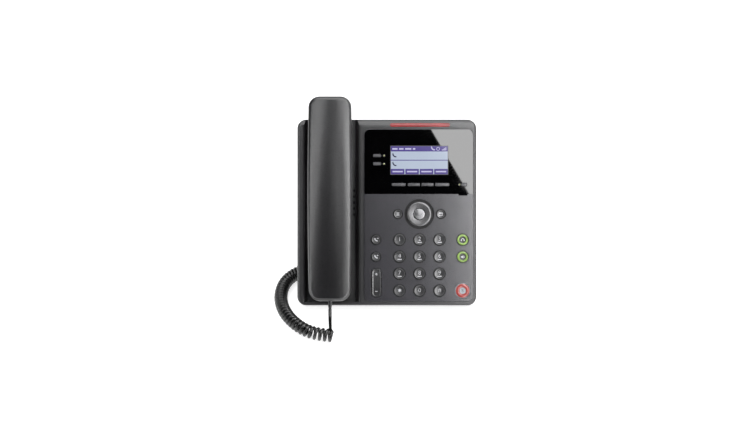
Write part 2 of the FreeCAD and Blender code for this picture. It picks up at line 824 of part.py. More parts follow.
def lcd_module():
    """Display module under the lens, with the glass standing up into the window."""
    frame = slab(
        LCD_LEFT - LCD_BORDER,
        LCD_FOOT - LCD_BORDER,
        LCD_RIGHT + LCD_BORDER,
        LCD_HEAD + LCD_BORDER,
        LCD_TOP - LCD_T,
        LCD_TOP,
        LCD_R,
    )
    glass = slab(
        LCD_LEFT + GAP,
        LCD_FOOT + GAP,
        LCD_RIGHT - GAP,
        LCD_HEAD - GAP,
        LCD_TOP,
        LENS_UNDER - GAP / 2.0,
    )
    return fused([frame, glass])


def main_board():
    """Circuit board under the keymat."""
    reach = LEDGE_IN - BOARD_LAP
    return slab(
        PANEL_LEFT + reach,
        PANEL_FOOT + reach,
        BOARD_RIGHT,
        PANEL_HEAD - reach,
        BOARD_UNDER,
        BOARD_TOP,
        BOARD_R,
    )


def keymat():
    """Silicone mat with a post inside every round key."""
    foot = PANEL_FOOT + LEDGE_IN + 2 * GAP
    head = LCD_FOOT - LCD_BORDER - 2 * GAP
    mat = slab(
        PANEL_LEFT + LEDGE_IN + 2 * GAP,
        foot,
        PANEL_RIGHT - LEDGE_IN - 2 * GAP,
        head,
        KEYMAT_UNDER,
        KEYMAT_TOP,
        BOARD_R,
    )
    posts = []
    for spots, roof in ((round_key_spots(), KEY_HOLLOW), (lit_key_spots(), LIT_KEY_HOLLOW)):
        for _, u, v, radius in spots:
            posts.append(disc(u, v, radius - KEY_WALL - 3 * GAP, KEYMAT_TOP, roof - KEY_TRAVEL - GAP))
    nav_hole = disc(NAV_U, NAV_V, NAV_MAT_HOLE_R, KEYMAT_UNDER - OVERCUT, KEYMAT_TOP + OVERCUT)
    return fused([mat] + posts).cut(nav_hole)


def round_key(u, v, radius):
    """Hollow round key with a domed top and a lip under the panel."""
    cap = domed(u, v, radius, KEY_LIP_UNDER, KEY_PROUD, KEY_DOME)
    lip = disc(u, v, radius + KEY_GAP + KEY_LIP, KEY_LIP_UNDER, KEY_LIP_TOP)
    hollow = disc(u, v, radius - KEY_WALL, KEY_LIP_UNDER - OVERCUT, KEY_HOLLOW)
    return cap.fuse(lip).cut(hollow)


def ring_block(u, v, radius, gap):
    """Light ring in the top of a key, or its groove with a gap."""
    low = KEY_PROUD - KEY_DOME - LIGHT_RING_T
    outer = domed(u, v, radius, low - gap, KEY_PROUD, KEY_DOME)
    outer = outer.common(disc(u, v, radius - LIGHT_RING_RIM + gap, low - gap, KEY_PROUD))
    return outer.cut(disc(u, v, LIGHT_RING_CORE_R - gap, low - OVERCUT, KEY_PROUD + OVERCUT))


def lit_key(u, v, radius):
    """Round key with a groove for its light ring; its roof is thicker under the groove."""
    cap = domed(u, v, radius, KEY_LIP_UNDER, KEY_PROUD, KEY_DOME)
    lip = disc(u, v, radius + KEY_GAP + KEY_LIP, KEY_LIP_UNDER, KEY_LIP_TOP)
    hollow = disc(u, v, radius - KEY_WALL, KEY_LIP_UNDER - OVERCUT, LIT_KEY_HOLLOW)
    return cap.fuse(lip).cut([hollow, ring_block(u, v, radius, GAP / 4.0)])


def bar_key(u, v, width):
    """Small bar key in the lens, with a lip along its two long sides under the bed."""
    lip_top = BED_UNDER - KEY_SEAT
    cap = centred_slab(u, v, width, BAR_H, lip_top, BAR_PROUD, BAR_R)
    lip_h = BAR_H + 2 * (BAR_GAP + BAR_LIP)
    lip = centred_slab(u, v, width, lip_h, lip_top - KEY_LIP_T / 2.0, lip_top)
    return fused([cap, lip])


def indicator_lights():
    """Light pipes of the small indicators, standing on the bed's underside level."""
    return Part.makeCompound([disc(u, v, LAMP_R, BED_UNDER, 0.0) for u, v in lamp_spots()])


def volume_rocker():
    """Long key that rocks about its middle, with a lip along its sides."""
    crown = Part.makeCylinder(
        ROCKER_CROWN_R,
        ROCKER_W,
        FreeCAD.Vector(ROCKER_U - ROCKER_W / 2.0, ROCKER_V, KEY_PROUD - ROCKER_CROWN_R),
        FreeCAD.Vector(1, 0, 0),
    )
    cap = rocker_block(0.0, KEY_LIP_UNDER, KEY_PROUD).common(crown)
    lip_w = ROCKER_W + 2 * (KEY_GAP + KEY_LIP)
    lip_h = ROCKER_H / 3.0
    drop = lip_h / 2.0 * math.sin(math.radians(ROCKER_TURN)) + GAP / 2.0
    lip = centred_slab(ROCKER_U, ROCKER_V, lip_w, lip_h, KEY_LIP_UNDER - drop, KEY_LIP_TOP - drop)
    return fused([cap, lip])


def nav_ring():
    """Four-way ring: a dished rim round the OK key, with a wide lip under the panel."""
    ring = domed(NAV_U, NAV_V, NAV_RING_R, NAV_UNDERSIDE, NAV_PROUD, NAV_DOME)
    lip = disc(NAV_U, NAV_V, NAV_HOLE_R + NAV_LIP, NAV_LIP_TOP - NAV_LIP_T, NAV_LIP_TOP)
    lip = lip.cut(disc(NAV_U, NAV_V, NAV_RING_R - NAV_LIP_ROOT, NAV_LIP_TOP - 2 * NAV_LIP_T, NAV_UNDERSIDE))
    bore = disc(NAV_U, NAV_V, NAV_BORE_R, NAV_UNDERSIDE - OVERCUT, NAV_PROUD + OVERCUT)
    return ring.fuse(lip).cut(bore)


def nav_pivot():
    """Rocking washer that carries the ring above the board."""
    low = NAV_PIVOT_TOP - NAV_PIVOT_T
    washer = disc(NAV_U, NAV_V, NAV_PIVOT_R, low, NAV_PIVOT_TOP)
    return washer.cut(disc(NAV_U, NAV_V, NAV_PIVOT_BORE_R, low - OVERCUT, NAV_PIVOT_TOP + OVERCUT))


def nav_ok():
    """OK key in the middle of the ring, with a stem down through the pivot."""
    cap = domed(NAV_U, NAV_V, NAV_OK_R, NAV_OK_UNDER, NAV_OK_PROUD, KEY_DOME / 2.0)
    return cap.fuse(disc(NAV_U, NAV_V, NAV_OK_STEM_R, KEYMAT_TOP, NAV_OK_UNDER))


def loudspeaker():
    """Loudspeaker under the sound holes: basket, magnet and a rim against the cradle floor."""
    top = TROUGH_UNDER - GAP
    rim = disc(SPEAKER_U, SPEAKER_V, SPEAKER_R, top - SPEAKER_RIM_T, top)
    basket = Part.makeCone(
        SPEAKER_R * 0.6,
        SPEAKER_R * 0.9,
        SPEAKER_D / 2.0,
        FreeCAD.Vector(SPEAKER_U, SPEAKER_V, top - SPEAKER_RIM_T - SPEAKER_D / 2.0),
    )
    magnet = disc(SPEAKER_U, SPEAKER_V, SPEAKER_R * 0.55, top - SPEAKER_D, top - SPEAKER_RIM_T / 2.0)
    return fused([rim, basket, magnet])


def hook_plunger():
    """Hook switch button that the handset holds down."""
    top = PAD_W - PLUNGER_REST
    lip_top = TROUGH_UNDER - PLUNGER_RISE - 2 * GAP
    lip_under = lip_top - PLUNGER_LIP_T
    post = plunger_post(0.0, lip_under, top)
    lip_w = PLUNGER_W + 2 * PLUNGER_LIP
    lip_h = PLUNGER_H + 2 * PLUNGER_LIP
    lip = centred_slab(PLUNGER_U, PLUNGER_V, lip_w, lip_h, lip_under, lip_top, PLUNGER_R)
    return fused([post, lip])


def hanger_tab():
    """Small tab in the cradle floor, turned up when the telephone hangs on a wall."""
    return tab_block(0.0, TROUGH_FLOOR)


def handset_plan(inset, w0, w1):
    """Block with the handset's outline: bowed sides and rounded ends."""
    foot = HANDSET_FOOT + inset
    head = HANDSET_HEAD - inset
    foot_half = HANDSET_FOOT_W / 2.0 - inset
    mid_half = HANDSET_MID_W / 2.0 - inset
    head_half = HANDSET_HEAD_W / 2.0 - inset
    face = outline(
        FreeCAD.Vector(HANDSET_U - foot_half, foot, w0),
        [
            FreeCAD.Vector(HANDSET_U + foot_half, foot, w0),
            (
                FreeCAD.Vector(HANDSET_U + mid_half, HANDSET_MID_V, w0),
                FreeCAD.Vector(HANDSET_U + head_half, head, w0),
            ),
            FreeCAD.Vector(HANDSET_U - head_half, head, w0),
            (
                FreeCAD.Vector(HANDSET_U - mid_half, HANDSET_MID_V, w0),
                FreeCAD.Vector(HANDSET_U - foot_half, foot, w0),
            ),
        ],
    )
    block = face.extrude(FreeCAD.Vector(0, 0, w1 - w0))
    for end, radius in ((foot, HANDSET_FOOT_R), (head, HANDSET_HEAD_R)):
        corners = [
            e
            for e in block.Edges
            if e.BoundBox.ZLength > 0.9 * (w1 - w0) and abs(e.CenterOfMass.y - end) < NEAR
        ]
        block = block.makeFillet(radius - inset, corners)
    return block


def crowned_block(inset):
    """Block whose top is crowned along the handset and across it, or drawn in by an inset."""
    half = HANDSET_WIDEST / 2.0
    reach = half + HANDSET_SIDE_DROP
    left = HANDSET_U - reach
    right = HANDSET_U + reach
    middle_v = (HANDSET_FOOT + HANDSET_HEAD) / 2.0
    spots = zip((HANDSET_FOOT, middle_v, HANDSET_HEAD), HANDSET_CROWN)
    ridge = Part.Circle(*[FreeCAD.Vector(left, v, w) for v, w in spots])
    axle = ridge.Center
    across_r = (half ** 2 + HANDSET_SIDE_DROP ** 2) / (2.0 * HANDSET_SIDE_DROP) - inset
    top = axle.z + ridge.Radius - inset
    side = top - across_r + math.sqrt(across_r ** 2 - reach ** 2)
    low = HANDSET_SPLIT - BODY_D
    section = outline(
        FreeCAD.Vector(left, axle.y, low),
        [
            FreeCAD.Vector(right, axle.y, low),
            FreeCAD.Vector(right, axle.y, side),
            (FreeCAD.Vector(HANDSET_U, axle.y, top), FreeCAD.Vector(left, axle.y, side)),
            FreeCAD.Vector(left, axle.y, low),
        ],
    )
    swing = math.degrees(math.asin((HANDSET_HEAD - HANDSET_FOOT) / ridge.Radius))
    along = FreeCAD.Vector(1, 0, 0)
    section.rotate(axle, along, swing)
    return section.revolve(axle, along, -2.0 * swing)


def outer_shell_form(inset):
    """Crowned upper half of the handset, or its inside at an inset."""
    return handset_plan(inset, HANDSET_SPLIT, max(HANDSET_CROWN) + OVERCUT).common(crowned_block(inset))


def handset_outer_shell():
    """Back of the handset: one shell, crowned both ways, with a rounded edge."""
    outer = outer_shell_form(0.0)
    crown_edges = [e for e in outer.Edges if e.BoundBox.ZMin > HANDSET_SPLIT + OVERCUT]
    outer = outer.makeFillet(HANDSET_EDGE_R, crown_edges)
    inner = outer_shell_form(HANDSET_WALL)
    inner_edges = [e for e in inner.Edges if e.BoundBox.ZMin > HANDSET_SPLIT + OVERCUT]
    inner = inner.makeFillet(HANDSET_EDGE_R - HANDSET_WALL, inner_edges)
    return outer.cut(inner)


def inner_shell_form(inset):
    """Lower half of the handset: two pads and the raised grip between them, or its inside."""
    left = HANDSET_U - HANDSET_WIDEST
    top = HANDSET_SPLIT - HANDSET_SPLIT_GAP
    stations = (
        (HANDSET_FOOT, HEEL_W),
        (MOUTH_PAD[0], PAD_W),
        (MOUTH_PAD[1], PAD_W),
        (GRIP_SPAN[0], GRIP_W),
        (GRIP_SPAN[1], GRIP_W),
        (EAR_PAD[0], PAD_W),
        (EAR_PAD[1], PAD_W),
        (HANDSET_HEAD, HEEL_W),
        (HANDSET_HEAD, top - inset),
    )
    points = [FreeCAD.Vector(left, v, w + inset) for v, w in stations]
    start = FreeCAD.Vector(left, HANDSET_FOOT, top)
    block = outline(start, points + [start]).extrude(FreeCAD.Vector(2.0 * HANDSET_WIDEST, 0, 0))
    spans = MOUTH_PAD + GRIP_SPAN + EAR_PAD
    bends = [
        e
        for e in block.Edges
        if e.BoundBox.XLength > HANDSET_WIDEST and any(abs(e.CenterOfMass.y - v) < NEAR for v in spans)
    ]
    block = block.makeFillet(PAD_BEND_R, bends)
    return handset_plan(inset, PAD_W - OVERCUT, top).common(block)


def sound_slots(v, width, count):
    """Row of sound slots through a pad of the handset and its ring."""
    reach = (count - 1) / 2.0
    low = PAD_W - RING_DEPTH - OVERCUT
    top = PAD_W + HANDSET_WALL + OVERCUT
    return [
        centred_slab(HANDSET_U, v + (i - reach) * SLOT_PITCH, width, SLOT_H, low, top, SLOT_R)
        for i in range(count)
    ]


def jack_in_handset(grow=0.0):
    """Outside of the socket in the foot of the handset."""
    return slab(
        HANDSET_U - CORD_JACK_W / 2.0 - grow,
        HANDSET_FOOT - OVERCUT,
        HANDSET_U + CORD_JACK_W / 2.0 + grow,
        HANDSET_FOOT + CORD_JACK_L,
        EXIT_W - CORD_JACK_H / 2.0 - grow,
        EXIT_W + CORD_JACK_H / 2.0 + grow,
    )


def handset_inner_shell():
    """Front of the handset, with a ring round the earpiece and one round the microphone."""
    outer = inner_shell_form(0.0)
    solid = outer.cut(inner_shell_form(HANDSET_WALL))
    for v, ring_r in ((EAR_V, EAR_RING_R), (MOUTH_V, MOUTH_RING_R)):
        low = PAD_W - RING_DEPTH
        ring = disc(HANDSET_U, v, ring_r, low, PAD_W + HANDSET_WALL / 2.0)
        solid = solid.fuse(ring.cut(disc(HANDSET_U, v, ring_r - HANDSET_WALL, low - OVERCUT, PAD_W)))
    cuts = sound_slots(EAR_V, *EAR_SLOTS) + sound_slots(MOUTH_V, *MOUTH_SLOTS)
    cuts.append(jack_in_handset(GAP).common(slab(0, 0, BODY_W, HANDSET_FOOT + EXIT_DEPTH, -BODY_D, BODY_D)))
    return solid.cut(cuts)


def handset_jack():
    """Socket in the foot of the handset."""
    mouth_w, mouth_h, depth = CORD_JACK_MOUTH
    block = jack_in_handset().cut(slab(0, 0, BODY_W, HANDSET_FOOT, -BODY_D, BODY_D))
    mouth = slab(
        HANDSET_U - mouth_w / 2.0,
        HANDSET_FOOT - OVERCUT,
        HANDSET_U + mouth_w / 2.0,
        HANDSET_FOOT + depth,
        EXIT_W - mouth_h / 2.0,
        EXIT_W + mouth_h / 2.0,
    )
    return block.cut(mouth)


def receiver_capsule():
    """Earpiece inside the handset."""
    floor = PAD_W + HANDSET_WALL + GAP
    body = disc(HANDSET_U, EAR_V, RECEIVER_R, floor, floor + RECEIVER_T - RECEIVER_STEP_T)
    return body.fuse(disc(HANDSET_U, EAR_V, RECEIVER_R - RECEIVER_STEP, floor, floor + RECEIVER_T))


def handset_microphone():
    """Microphone capsule inside the foot of the handset."""
    floor = PAD_W + HANDSET_WALL + GAP
    return disc(HANDSET_U, MOUTH_V, MICROPHONE_R, floor, floor + MICROPHONE_T)


def desk_stand():
    """Moulded stand: a plate against the back, two open legs and a bar along the desk."""
    left = LEG_U[0]
    right = LEG_U[1] + LEG_T
    plate = slab(left, PLATE_FOOT, right, PLATE_HEAD, -BODY_D - PLATE_T, -BODY_D)
    pieces = [stand_up(plate.fuse(hooks()))]
    for u in LEG_U:
        foot = STANDING.multVec(FreeCAD.Vector(u, PLATE_FOOT, -BODY_D))
        head = STANDING.multVec(FreeCAD.Vector(u, PLATE_HEAD, -BODY_D))
        back = FreeCAD.Vector(foot.x, BASE_BACK, FOOT_STAND)
        front = FreeCAD.Vector(foot.x, BASE_FRONT, FOOT_STAND)
        side = outline(foot, [head, back, front, foot])
        hole = side.makeOffset2D(-LEG_WEB).extrude(FreeCAD.Vector(LEG_T, 0, 0))
        hole = hole.makeFillet(LEG_HOLE_R, [e for e in hole.Edges if e.BoundBox.XLength > 0.9 * LEG_T])
        pieces.append(side.extrude(FreeCAD.Vector(LEG_T, 0, 0)).cut(hole))
    x = left - BODY_W / 2.0
    bar = FreeCAD.Vector(x, BASE_FRONT, FOOT_STAND)
    pieces.append(Part.makeBox(right - left, BASE_BACK - BASE_FRONT, BASE_T, bar))
    solid = fused(pieces)
    return solid.cut(base_feet(GAP / 2.0))


def base_feet(gap):
    """Rubber pads under the bar of the stand, or their pockets with a gap."""
    feet = []
    for u in (LEG_U[0] + BASE_FOOT_L, LEG_U[1] + LEG_T - BASE_FOOT_L):
        length = BASE_FOOT_L + 2 * gap
        width = BASE_FOOT_W + 2 * gap
        x = u - BODY_W / 2.0 - length / 2.0
        y = (BASE_FRONT + BASE_BACK - width) / 2.0
        feet.append(Part.makeBox(length, width, FOOT_STAND + FOOT_SUNK, FreeCAD.Vector(x, y, 0)))
    return feet


def rubber_feet():
    """Two strips under the toe and two pads under the stand."""
    return Part.makeCompound(toe_feet(0.0) + base_feet(0.0))


def tube(name, points, radius):
    """Tube along straight runs joined by arcs as large as the runs allow; prints its radii."""
    spots = [FreeCAD.Vector(*point) for point in points]
    edges = []
    radii = []
    here = spots[0]
    for before, corner, after in zip(spots, spots[1:], spots[2:]):
        come = (corner - before).normalize()
        go = (after - corner).normalize()
        turn = come.getAngle(go)
        reach = 0.45 * min((corner - before).Length, (after - corner).Length)
        radii.append(reach / math.tan(turn / 2.0))
        start = corner - come * reach
        end = corner + go * reach
        inward = (go - come).normalize()
        middle = corner + inward * (radii[-1] / math.cos(turn / 2.0) - radii[-1])
        edges.append(Part.makeLine(here, start))
        edges.append(Part.Arc(start, middle, end).toShape())
        here = end
    edges.append(Part.makeLine(here, spots[-1]))
    path = Part.Wire(edges)
    circle = Part.Circle(spots[0], spots[1] - spots[0], radius).toShape()
    solid = path.makePipeShell([Part.Wire(circle)], True, False)
    share = solid.Volume / (math.pi * radius ** 2 * path.Length)
    bends = " ".join(f"{bend:.0f}" for bend in radii)
    print(f"{name}: length {path.Length:.1f}, volume share {share:.4f}, bend radii {bends}")
    return solid


def flat_nodes():
    """Every piece that is drawn flat with the console, by name."""
    nodes = {
        "front_housing": front_housing(),
        "rear_housing": rear_housing(),
        "housing_screws": housing_screws(),
        "face_panel": face_panel(),
        "display_lens": display_lens(),
        "message_light": message_light(),
        "indicator_lights": indicator_lights(),
        "lcd_module": lcd_module(),
        "main_board": main_board(),
        "keymat": keymat(),
        "loudspeaker": loudspeaker(),
        "network_jacks": network_jacks(),
        "cord_jacks": cord_jacks(),
        "hook_plunger": hook_plunger(),
        "hanger_tab": hanger_tab(),
        "volume_rocker": volume_rocker(),
        "nav_ring": nav_ring(),
        "nav_pivot": nav_pivot(),
        "nav_ok": nav_ok(),
        "handset_outer_shell": handset_outer_shell(),
        "handset_inner_shell": handset_inner_shell(),
        "handset_jack": handset_jack(),
        "receiver_capsule": receiver_capsule(),
        "handset_microphone": handset_microphone(),
        "handset_plug": plug(HANDSET_U, HANDSET_FOOT, EXIT_W),
        "base_plug": plug(CORD_JACK_U[0], BAY_HEAD, BOARD_UNDER - MOUTH_DROP - CORD_JACK_MOUTH[1] / 2.0),
    }
    for name, u, v, radius in round_key_spots():
        nodes[name] = round_key(u, v, radius)
    for name, u, v, radius in lit_key_spots():
        nodes[name] = lit_key(u, v, radius)
        nodes[name + "_ring"] = ring_block(u, v, radius, 0.0)
    for name, u, v, width in lens_key_spots():
        nodes[name] = bar_key(u, v, width)
    return nodes


def main():
    """Builds every piece, stands it up and writes it to its own file."""
    nodes = {name: stand_up(shape) for name, shape in flat_nodes().items()}
    nodes["desk_stand"] = desk_stand()
    nodes["rubber_feet"] = rubber_feet()
    nodes["cord_handset_lead"] = tube("cord_handset_lead", HANDSET_LEAD, CORD_R)
    nodes["cord_coil"] = tube("cord_coil", COIL_ROUTE, COIL_R)
    nodes["cord_base_lead"] = tube("cord_base_lead", BASE_LEAD, CORD_R)
    for name, shape in nodes.items():
        shape.exportStep(f"parts/{name}.step")
        print(name, len(shape.Solids), shape.isValid(), round(shape.Volume, 1))


main()
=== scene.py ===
"""Looks of a desk telephone: its studio, finishes, printed marks and cord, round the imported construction."""
import json
import logging
import math
from dataclasses import dataclass
from enum import Enum
from functools import cache
from typing import Any, Callable, Sequence

import bmesh
import bpy
from mathutils import Matrix, Vector

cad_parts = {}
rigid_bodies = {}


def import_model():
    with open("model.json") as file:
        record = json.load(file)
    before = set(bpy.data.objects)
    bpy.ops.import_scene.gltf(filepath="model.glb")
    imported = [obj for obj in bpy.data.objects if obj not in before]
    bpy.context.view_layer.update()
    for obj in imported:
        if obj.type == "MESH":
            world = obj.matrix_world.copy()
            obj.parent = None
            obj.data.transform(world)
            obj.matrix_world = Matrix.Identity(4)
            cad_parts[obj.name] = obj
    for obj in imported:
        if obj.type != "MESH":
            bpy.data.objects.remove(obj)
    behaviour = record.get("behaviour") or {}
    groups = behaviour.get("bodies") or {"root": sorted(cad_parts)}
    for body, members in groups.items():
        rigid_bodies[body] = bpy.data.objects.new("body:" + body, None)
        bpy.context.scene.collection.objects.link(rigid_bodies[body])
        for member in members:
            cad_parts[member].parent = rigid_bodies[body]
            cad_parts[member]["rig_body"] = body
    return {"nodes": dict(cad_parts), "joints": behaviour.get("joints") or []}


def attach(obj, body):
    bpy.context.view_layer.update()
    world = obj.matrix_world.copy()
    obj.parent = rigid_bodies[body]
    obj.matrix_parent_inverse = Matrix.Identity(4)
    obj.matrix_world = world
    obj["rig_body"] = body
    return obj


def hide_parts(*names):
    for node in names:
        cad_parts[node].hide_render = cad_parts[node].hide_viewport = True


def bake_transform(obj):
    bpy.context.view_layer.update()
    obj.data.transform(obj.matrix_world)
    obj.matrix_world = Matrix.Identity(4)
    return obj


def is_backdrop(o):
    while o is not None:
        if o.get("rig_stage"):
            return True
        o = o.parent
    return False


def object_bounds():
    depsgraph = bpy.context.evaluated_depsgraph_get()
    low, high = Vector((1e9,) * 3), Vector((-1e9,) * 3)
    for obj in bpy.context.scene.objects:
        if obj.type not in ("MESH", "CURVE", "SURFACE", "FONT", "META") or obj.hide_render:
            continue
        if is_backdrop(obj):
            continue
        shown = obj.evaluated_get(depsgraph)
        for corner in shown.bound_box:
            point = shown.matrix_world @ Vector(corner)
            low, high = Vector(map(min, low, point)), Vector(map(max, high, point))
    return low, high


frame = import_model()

LOG = logging.getLogger("desk_telephone")
CAD_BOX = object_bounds()
FULL_TURN = 2.0 * math.pi
NOISE_SPAN = (0.3, 0.7)

Point2 = tuple[float, float]
Place = tuple[float, float, float]
Colour = tuple[float, float, float]
Corner = tuple[float, float, float]
TurnPoint = tuple[float | Callable[[float], float], float]


@dataclass(frozen=True)
class FlatBox:
    """Extent of a piece in the frame of the face, in metres."""

    low: Vector
    high: Vector

    @property
    def middle(self) -> Point2:
        """Middle of the piece on the face."""
        return ((self.low.x + self.high.x) / 2.0, (self.low.y + self.high.y) / 2.0)

    @property
    def top(self) -> float:
        """Level of the piece's highest point above the face's zero."""
        return self.high.z

    @property
    def width(self) -> float:
        """Size of the piece across the face."""
        return self.high.x - self.low.x

    @property
    def height(self) -> float:
        """Size of the piece up the face."""
        return self.high.y - self.low.y


@dataclass(frozen=True)
class FaceFrame:
    """Tilted frame of the console: u to the right, v up the face and w out of it."""

    right: Vector
    up: Vector
    out: Vector

    @classmethod
    def from_joints(cls, joints: Sequence[dict[str, Any]]) -> "FaceFrame":
        """Reads the tilt from the axis along which the handset lifts.

        Args:
            joints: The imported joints.

        Returns:
            The frame of the face.
        """
        axis = next(joint["axis"] for joint in joints if joint["name"] == "handset_lift")
        out = Vector(axis).normalized()
        right = Vector((1.0, 0.0, 0.0))
        return cls(right, out.cross(right), out)

    def point(self, u: float, v: float, w: float) -> Vector:
        """Point of the row frame at a place of the face."""
        return self.right * u + self.up * v + self.out * w

    def flat(self, point: Vector) -> Vector:
        """Place in the frame of the face of a point of the row frame."""
        return Vector((point.dot(self.right), point.dot(self.up), point.dot(self.out)))

    def box(self, node: str) -> FlatBox:
        """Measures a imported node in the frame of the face.

        Args:
            node: The node's name.

        Returns:
            Its extent.
        """
        places = [self.flat(vertex.co) for vertex in frame["nodes"][node].data.vertices]
        low, high = (Vector(pick(p[axis] for p in places) for axis in range(3)) for pick in (min, max))
        return FlatBox(low, high)

    def placing(self, u: float, v: float, w: float) -> Matrix:
        """Matrix that lays a shape drawn in x and y onto the face at a point."""
        turn = Matrix((self.right, self.up, self.out)).transposed().to_4x4()
        return Matrix.Translation(self.point(u, v, w)) @ turn


FACE = FaceFrame.from_joints(frame["joints"])


class NodeWork:
    """A node tree under construction, with short calls for its nodes and links."""

    def __init__(self, tree: bpy.types.NodeTree) -> None:
        """Starts on a tree."""
        self.tree = tree

    def node(self, kind: str, values: dict[str | int, Any] | None = None, **settings: Any) -> bpy.types.Node:
        """Adds a node.

        Args:
            kind: The node's type name.
            values: Values of its input sockets by name or number.
            settings: Properties of the node by name.

        Returns:
            The new node.
        """
        made = self.tree.nodes.new(kind)
        for name, setting in settings.items():
            setattr(made, name, setting)
        for socket, value in (values or {}).items():
            made.inputs[socket].default_value = value
        return made

    def link(self, source: Any, target: Any) -> None:
        """Joins two sockets."""
        self.tree.links.new(source, target)

    def seen_rays(self) -> Any:
        """Tells rays by which the eye, a gloss or a glass sees something from rays of light.

        Returns:
            Socket that is 1 for the former and 0 for the latter.
        """
        path = self.node("ShaderNodeLightPath")
        seen = path.outputs["Is Camera Ray"]
        for ray in ("Is Glossy Ray", "Is Transmission Ray"):
            larger = self.node("ShaderNodeMath", operation="MAXIMUM")
            self.link(seen, larger.inputs[0])
            self.link(path.outputs[ray], larger.inputs[1])
            seen = larger.outputs[0]
        return seen


class Surface(NodeWork):
    """One material under construction, round a Principled shader."""

    def __init__(self, name: str) -> None:
        """Starts a material with the shader and its output.

        Args:
            name: The finish's name.
        """
        self.material = bpy.data.materials.new("finish_" + name)
        self.material.use_nodes = True
        super().__init__(self.material.node_tree)
        self.tree.nodes.clear()
        self.shader = self.node("ShaderNodeBsdfPrincipled")
        self.output = self.node("ShaderNodeOutputMaterial")
        self.link(self.shader.outputs["BSDF"], self.output.inputs["Surface"])

    def set(self, **values: Any) -> None:
        """Sets sockets of the shader; a name's underscores stand for spaces."""
        for name, value in values.items():
            self.shader.inputs[name.replace("_", " ")].default_value = value

    def feed(self, **sources: Any) -> None:
        """Links sources to the shader; a name's underscores stand for spaces."""
        for name, source in sources.items():
            self.link(source, self.shader.inputs[name.replace("_", " ")])

    def place(self, centre: Vector | None = None) -> Any:
        """Object coordinates, measured from a centre where one is given.

        Args:
            centre: Point of the row frame that becomes the pattern's middle.

        Returns:
            The socket of the coordinates.
        """
        coordinates = self.node("ShaderNodeTexCoord").outputs["Object"]
        if centre is None:
            return coordinates
        mapping = self.node("ShaderNodeMapping", {"Location": -centre})
        self.link(coordinates, mapping.inputs["Vector"])
        return mapping.outputs["Vector"]

    def noise(self, scale: float, detail: float = 3.0) -> Any:
        """Noise over the piece.

        Args:
            scale: Features in a metre.
            detail: Octaves.

        Returns:
            The socket of its value.
        """
        noise = self.node("ShaderNodeTexNoise", {"Scale": scale, "Detail": detail})
        self.link(self.place(), noise.inputs["Vector"])
        return noise.outputs["Fac"]

    def between(self, value: Any, low: float, high: float) -> Any:
        """Maps a noise onto a range.

        Args:
            value: The noise's socket.
            low: Result where the noise is low.
            high: Result where it is high.

        Returns:
            The mapped socket.
        """
        limits = zip(("From Min", "From Max", "To Min", "To Max"), (*NOISE_SPAN, low, high))
        ramp = self.node("ShaderNodeMapRange", dict(limits))
        self.link(value, ramp.inputs["Value"])
        return ramp.outputs["Result"]

    def uneven(self, value: Any, middle: float, spread: Point2) -> Any:
        """Lets a value run with a noise from below a middle to above it, by a spread."""
        return self.between(value, middle + spread[0], middle + spread[1])

    def tones(self, value: Any, first: Colour, second: Colour, span: Point2 = NOISE_SPAN) -> Any:
        """Runs from one colour to another with a value.

        Args:
            value: The socket that drives the change.
            first: Linear colour at the span's start.
            second: Linear colour at the span's end.
            span: Where on the value the change starts and ends.

        Returns:
            The colour socket.
        """
        ramp = self.node("ShaderNodeValToRGB")
        for element, place, colour in zip(ramp.color_ramp.elements, span, (first, second)):
            element.position = place
            element.color = (*colour, 1.0)
        self.link(value, ramp.inputs["Fac"])
        return ramp.outputs["Color"]

    def bump(self, height: Any, depth: float, strength: float) -> None:
        """Raises the surface by a height.

        Args:
            height: Socket of the height, from 0 to 1.
            depth: Depth of the relief in metres.
            strength: Share of the relief that shows.
        """
        relief = self.node("ShaderNodeBump", {"Strength": strength, "Distance": depth})
        self.link(height, relief.inputs["Height"])
        self.feed(Normal=relief.outputs["Normal"])


def scaled(tone: Colour, factor: float, lift: float = 0.0) -> Colour:
    """A colour made lighter or darker by a factor, and raised by a lift."""
    return tuple(c * factor + lift for c in tone)


@dataclass(frozen=True)
class Coating:
    """Name and linear colour of a finish, which each kind paints in its own way."""

    name: str
    tone: Colour

    def paint(self, surface: Surface) -> None:
        """Adds the look of the kind to a fresh material."""
        raise NotImplementedError(self.name)

    def build(self) -> bpy.types.Material:
        """Makes the material.

        Returns:
            The material.
        """
        surface = Surface(self.name)
        self.paint(surface)
        return surface.material


@dataclass(frozen=True)
class Grained(Coating):
    """Patches of tone under a fine grain that shows in gloss and relief."""

    roughness: float
    grain: float = 2600.0
    depth: float = 0.00004
    gloss: float = 0.5
    metallic: float = 0.0
    grain_detail: float = 2.0
    relief: float = 0.55
    spread: Point2 = (-0.05, 0.06)
    patches: float = 38.0
    patch_detail: float = 4.0
    first: Point2 = (0.84, 0.0)
    second: Point2 = (1.16, 0.0)

    def paint(self, surface: Surface) -> None:
        """Lays the patches, from the first tone to the second, and the grain over them.

        Args:
            surface: The material under construction.
        """
        grain = surface.noise(self.grain, self.grain_detail)
        patches = surface.noise(self.patches, self.patch_detail)
        first, second = (scaled(self.tone, *change) for change in (self.first, self.second))
        surface.set(Specular_IOR_Level=self.gloss, Metallic=self.metallic)
        surface.feed(
            Base_Color=surface.tones(patches, first, second),
            Roughness=surface.uneven(grain, self.roughness, self.spread),
        )
        surface.bump(grain, self.depth, self.relief)


@dataclass(frozen=True)
class MouldedPlastic(Grained):
    """Spark-textured plastic, with slow changes of tone."""


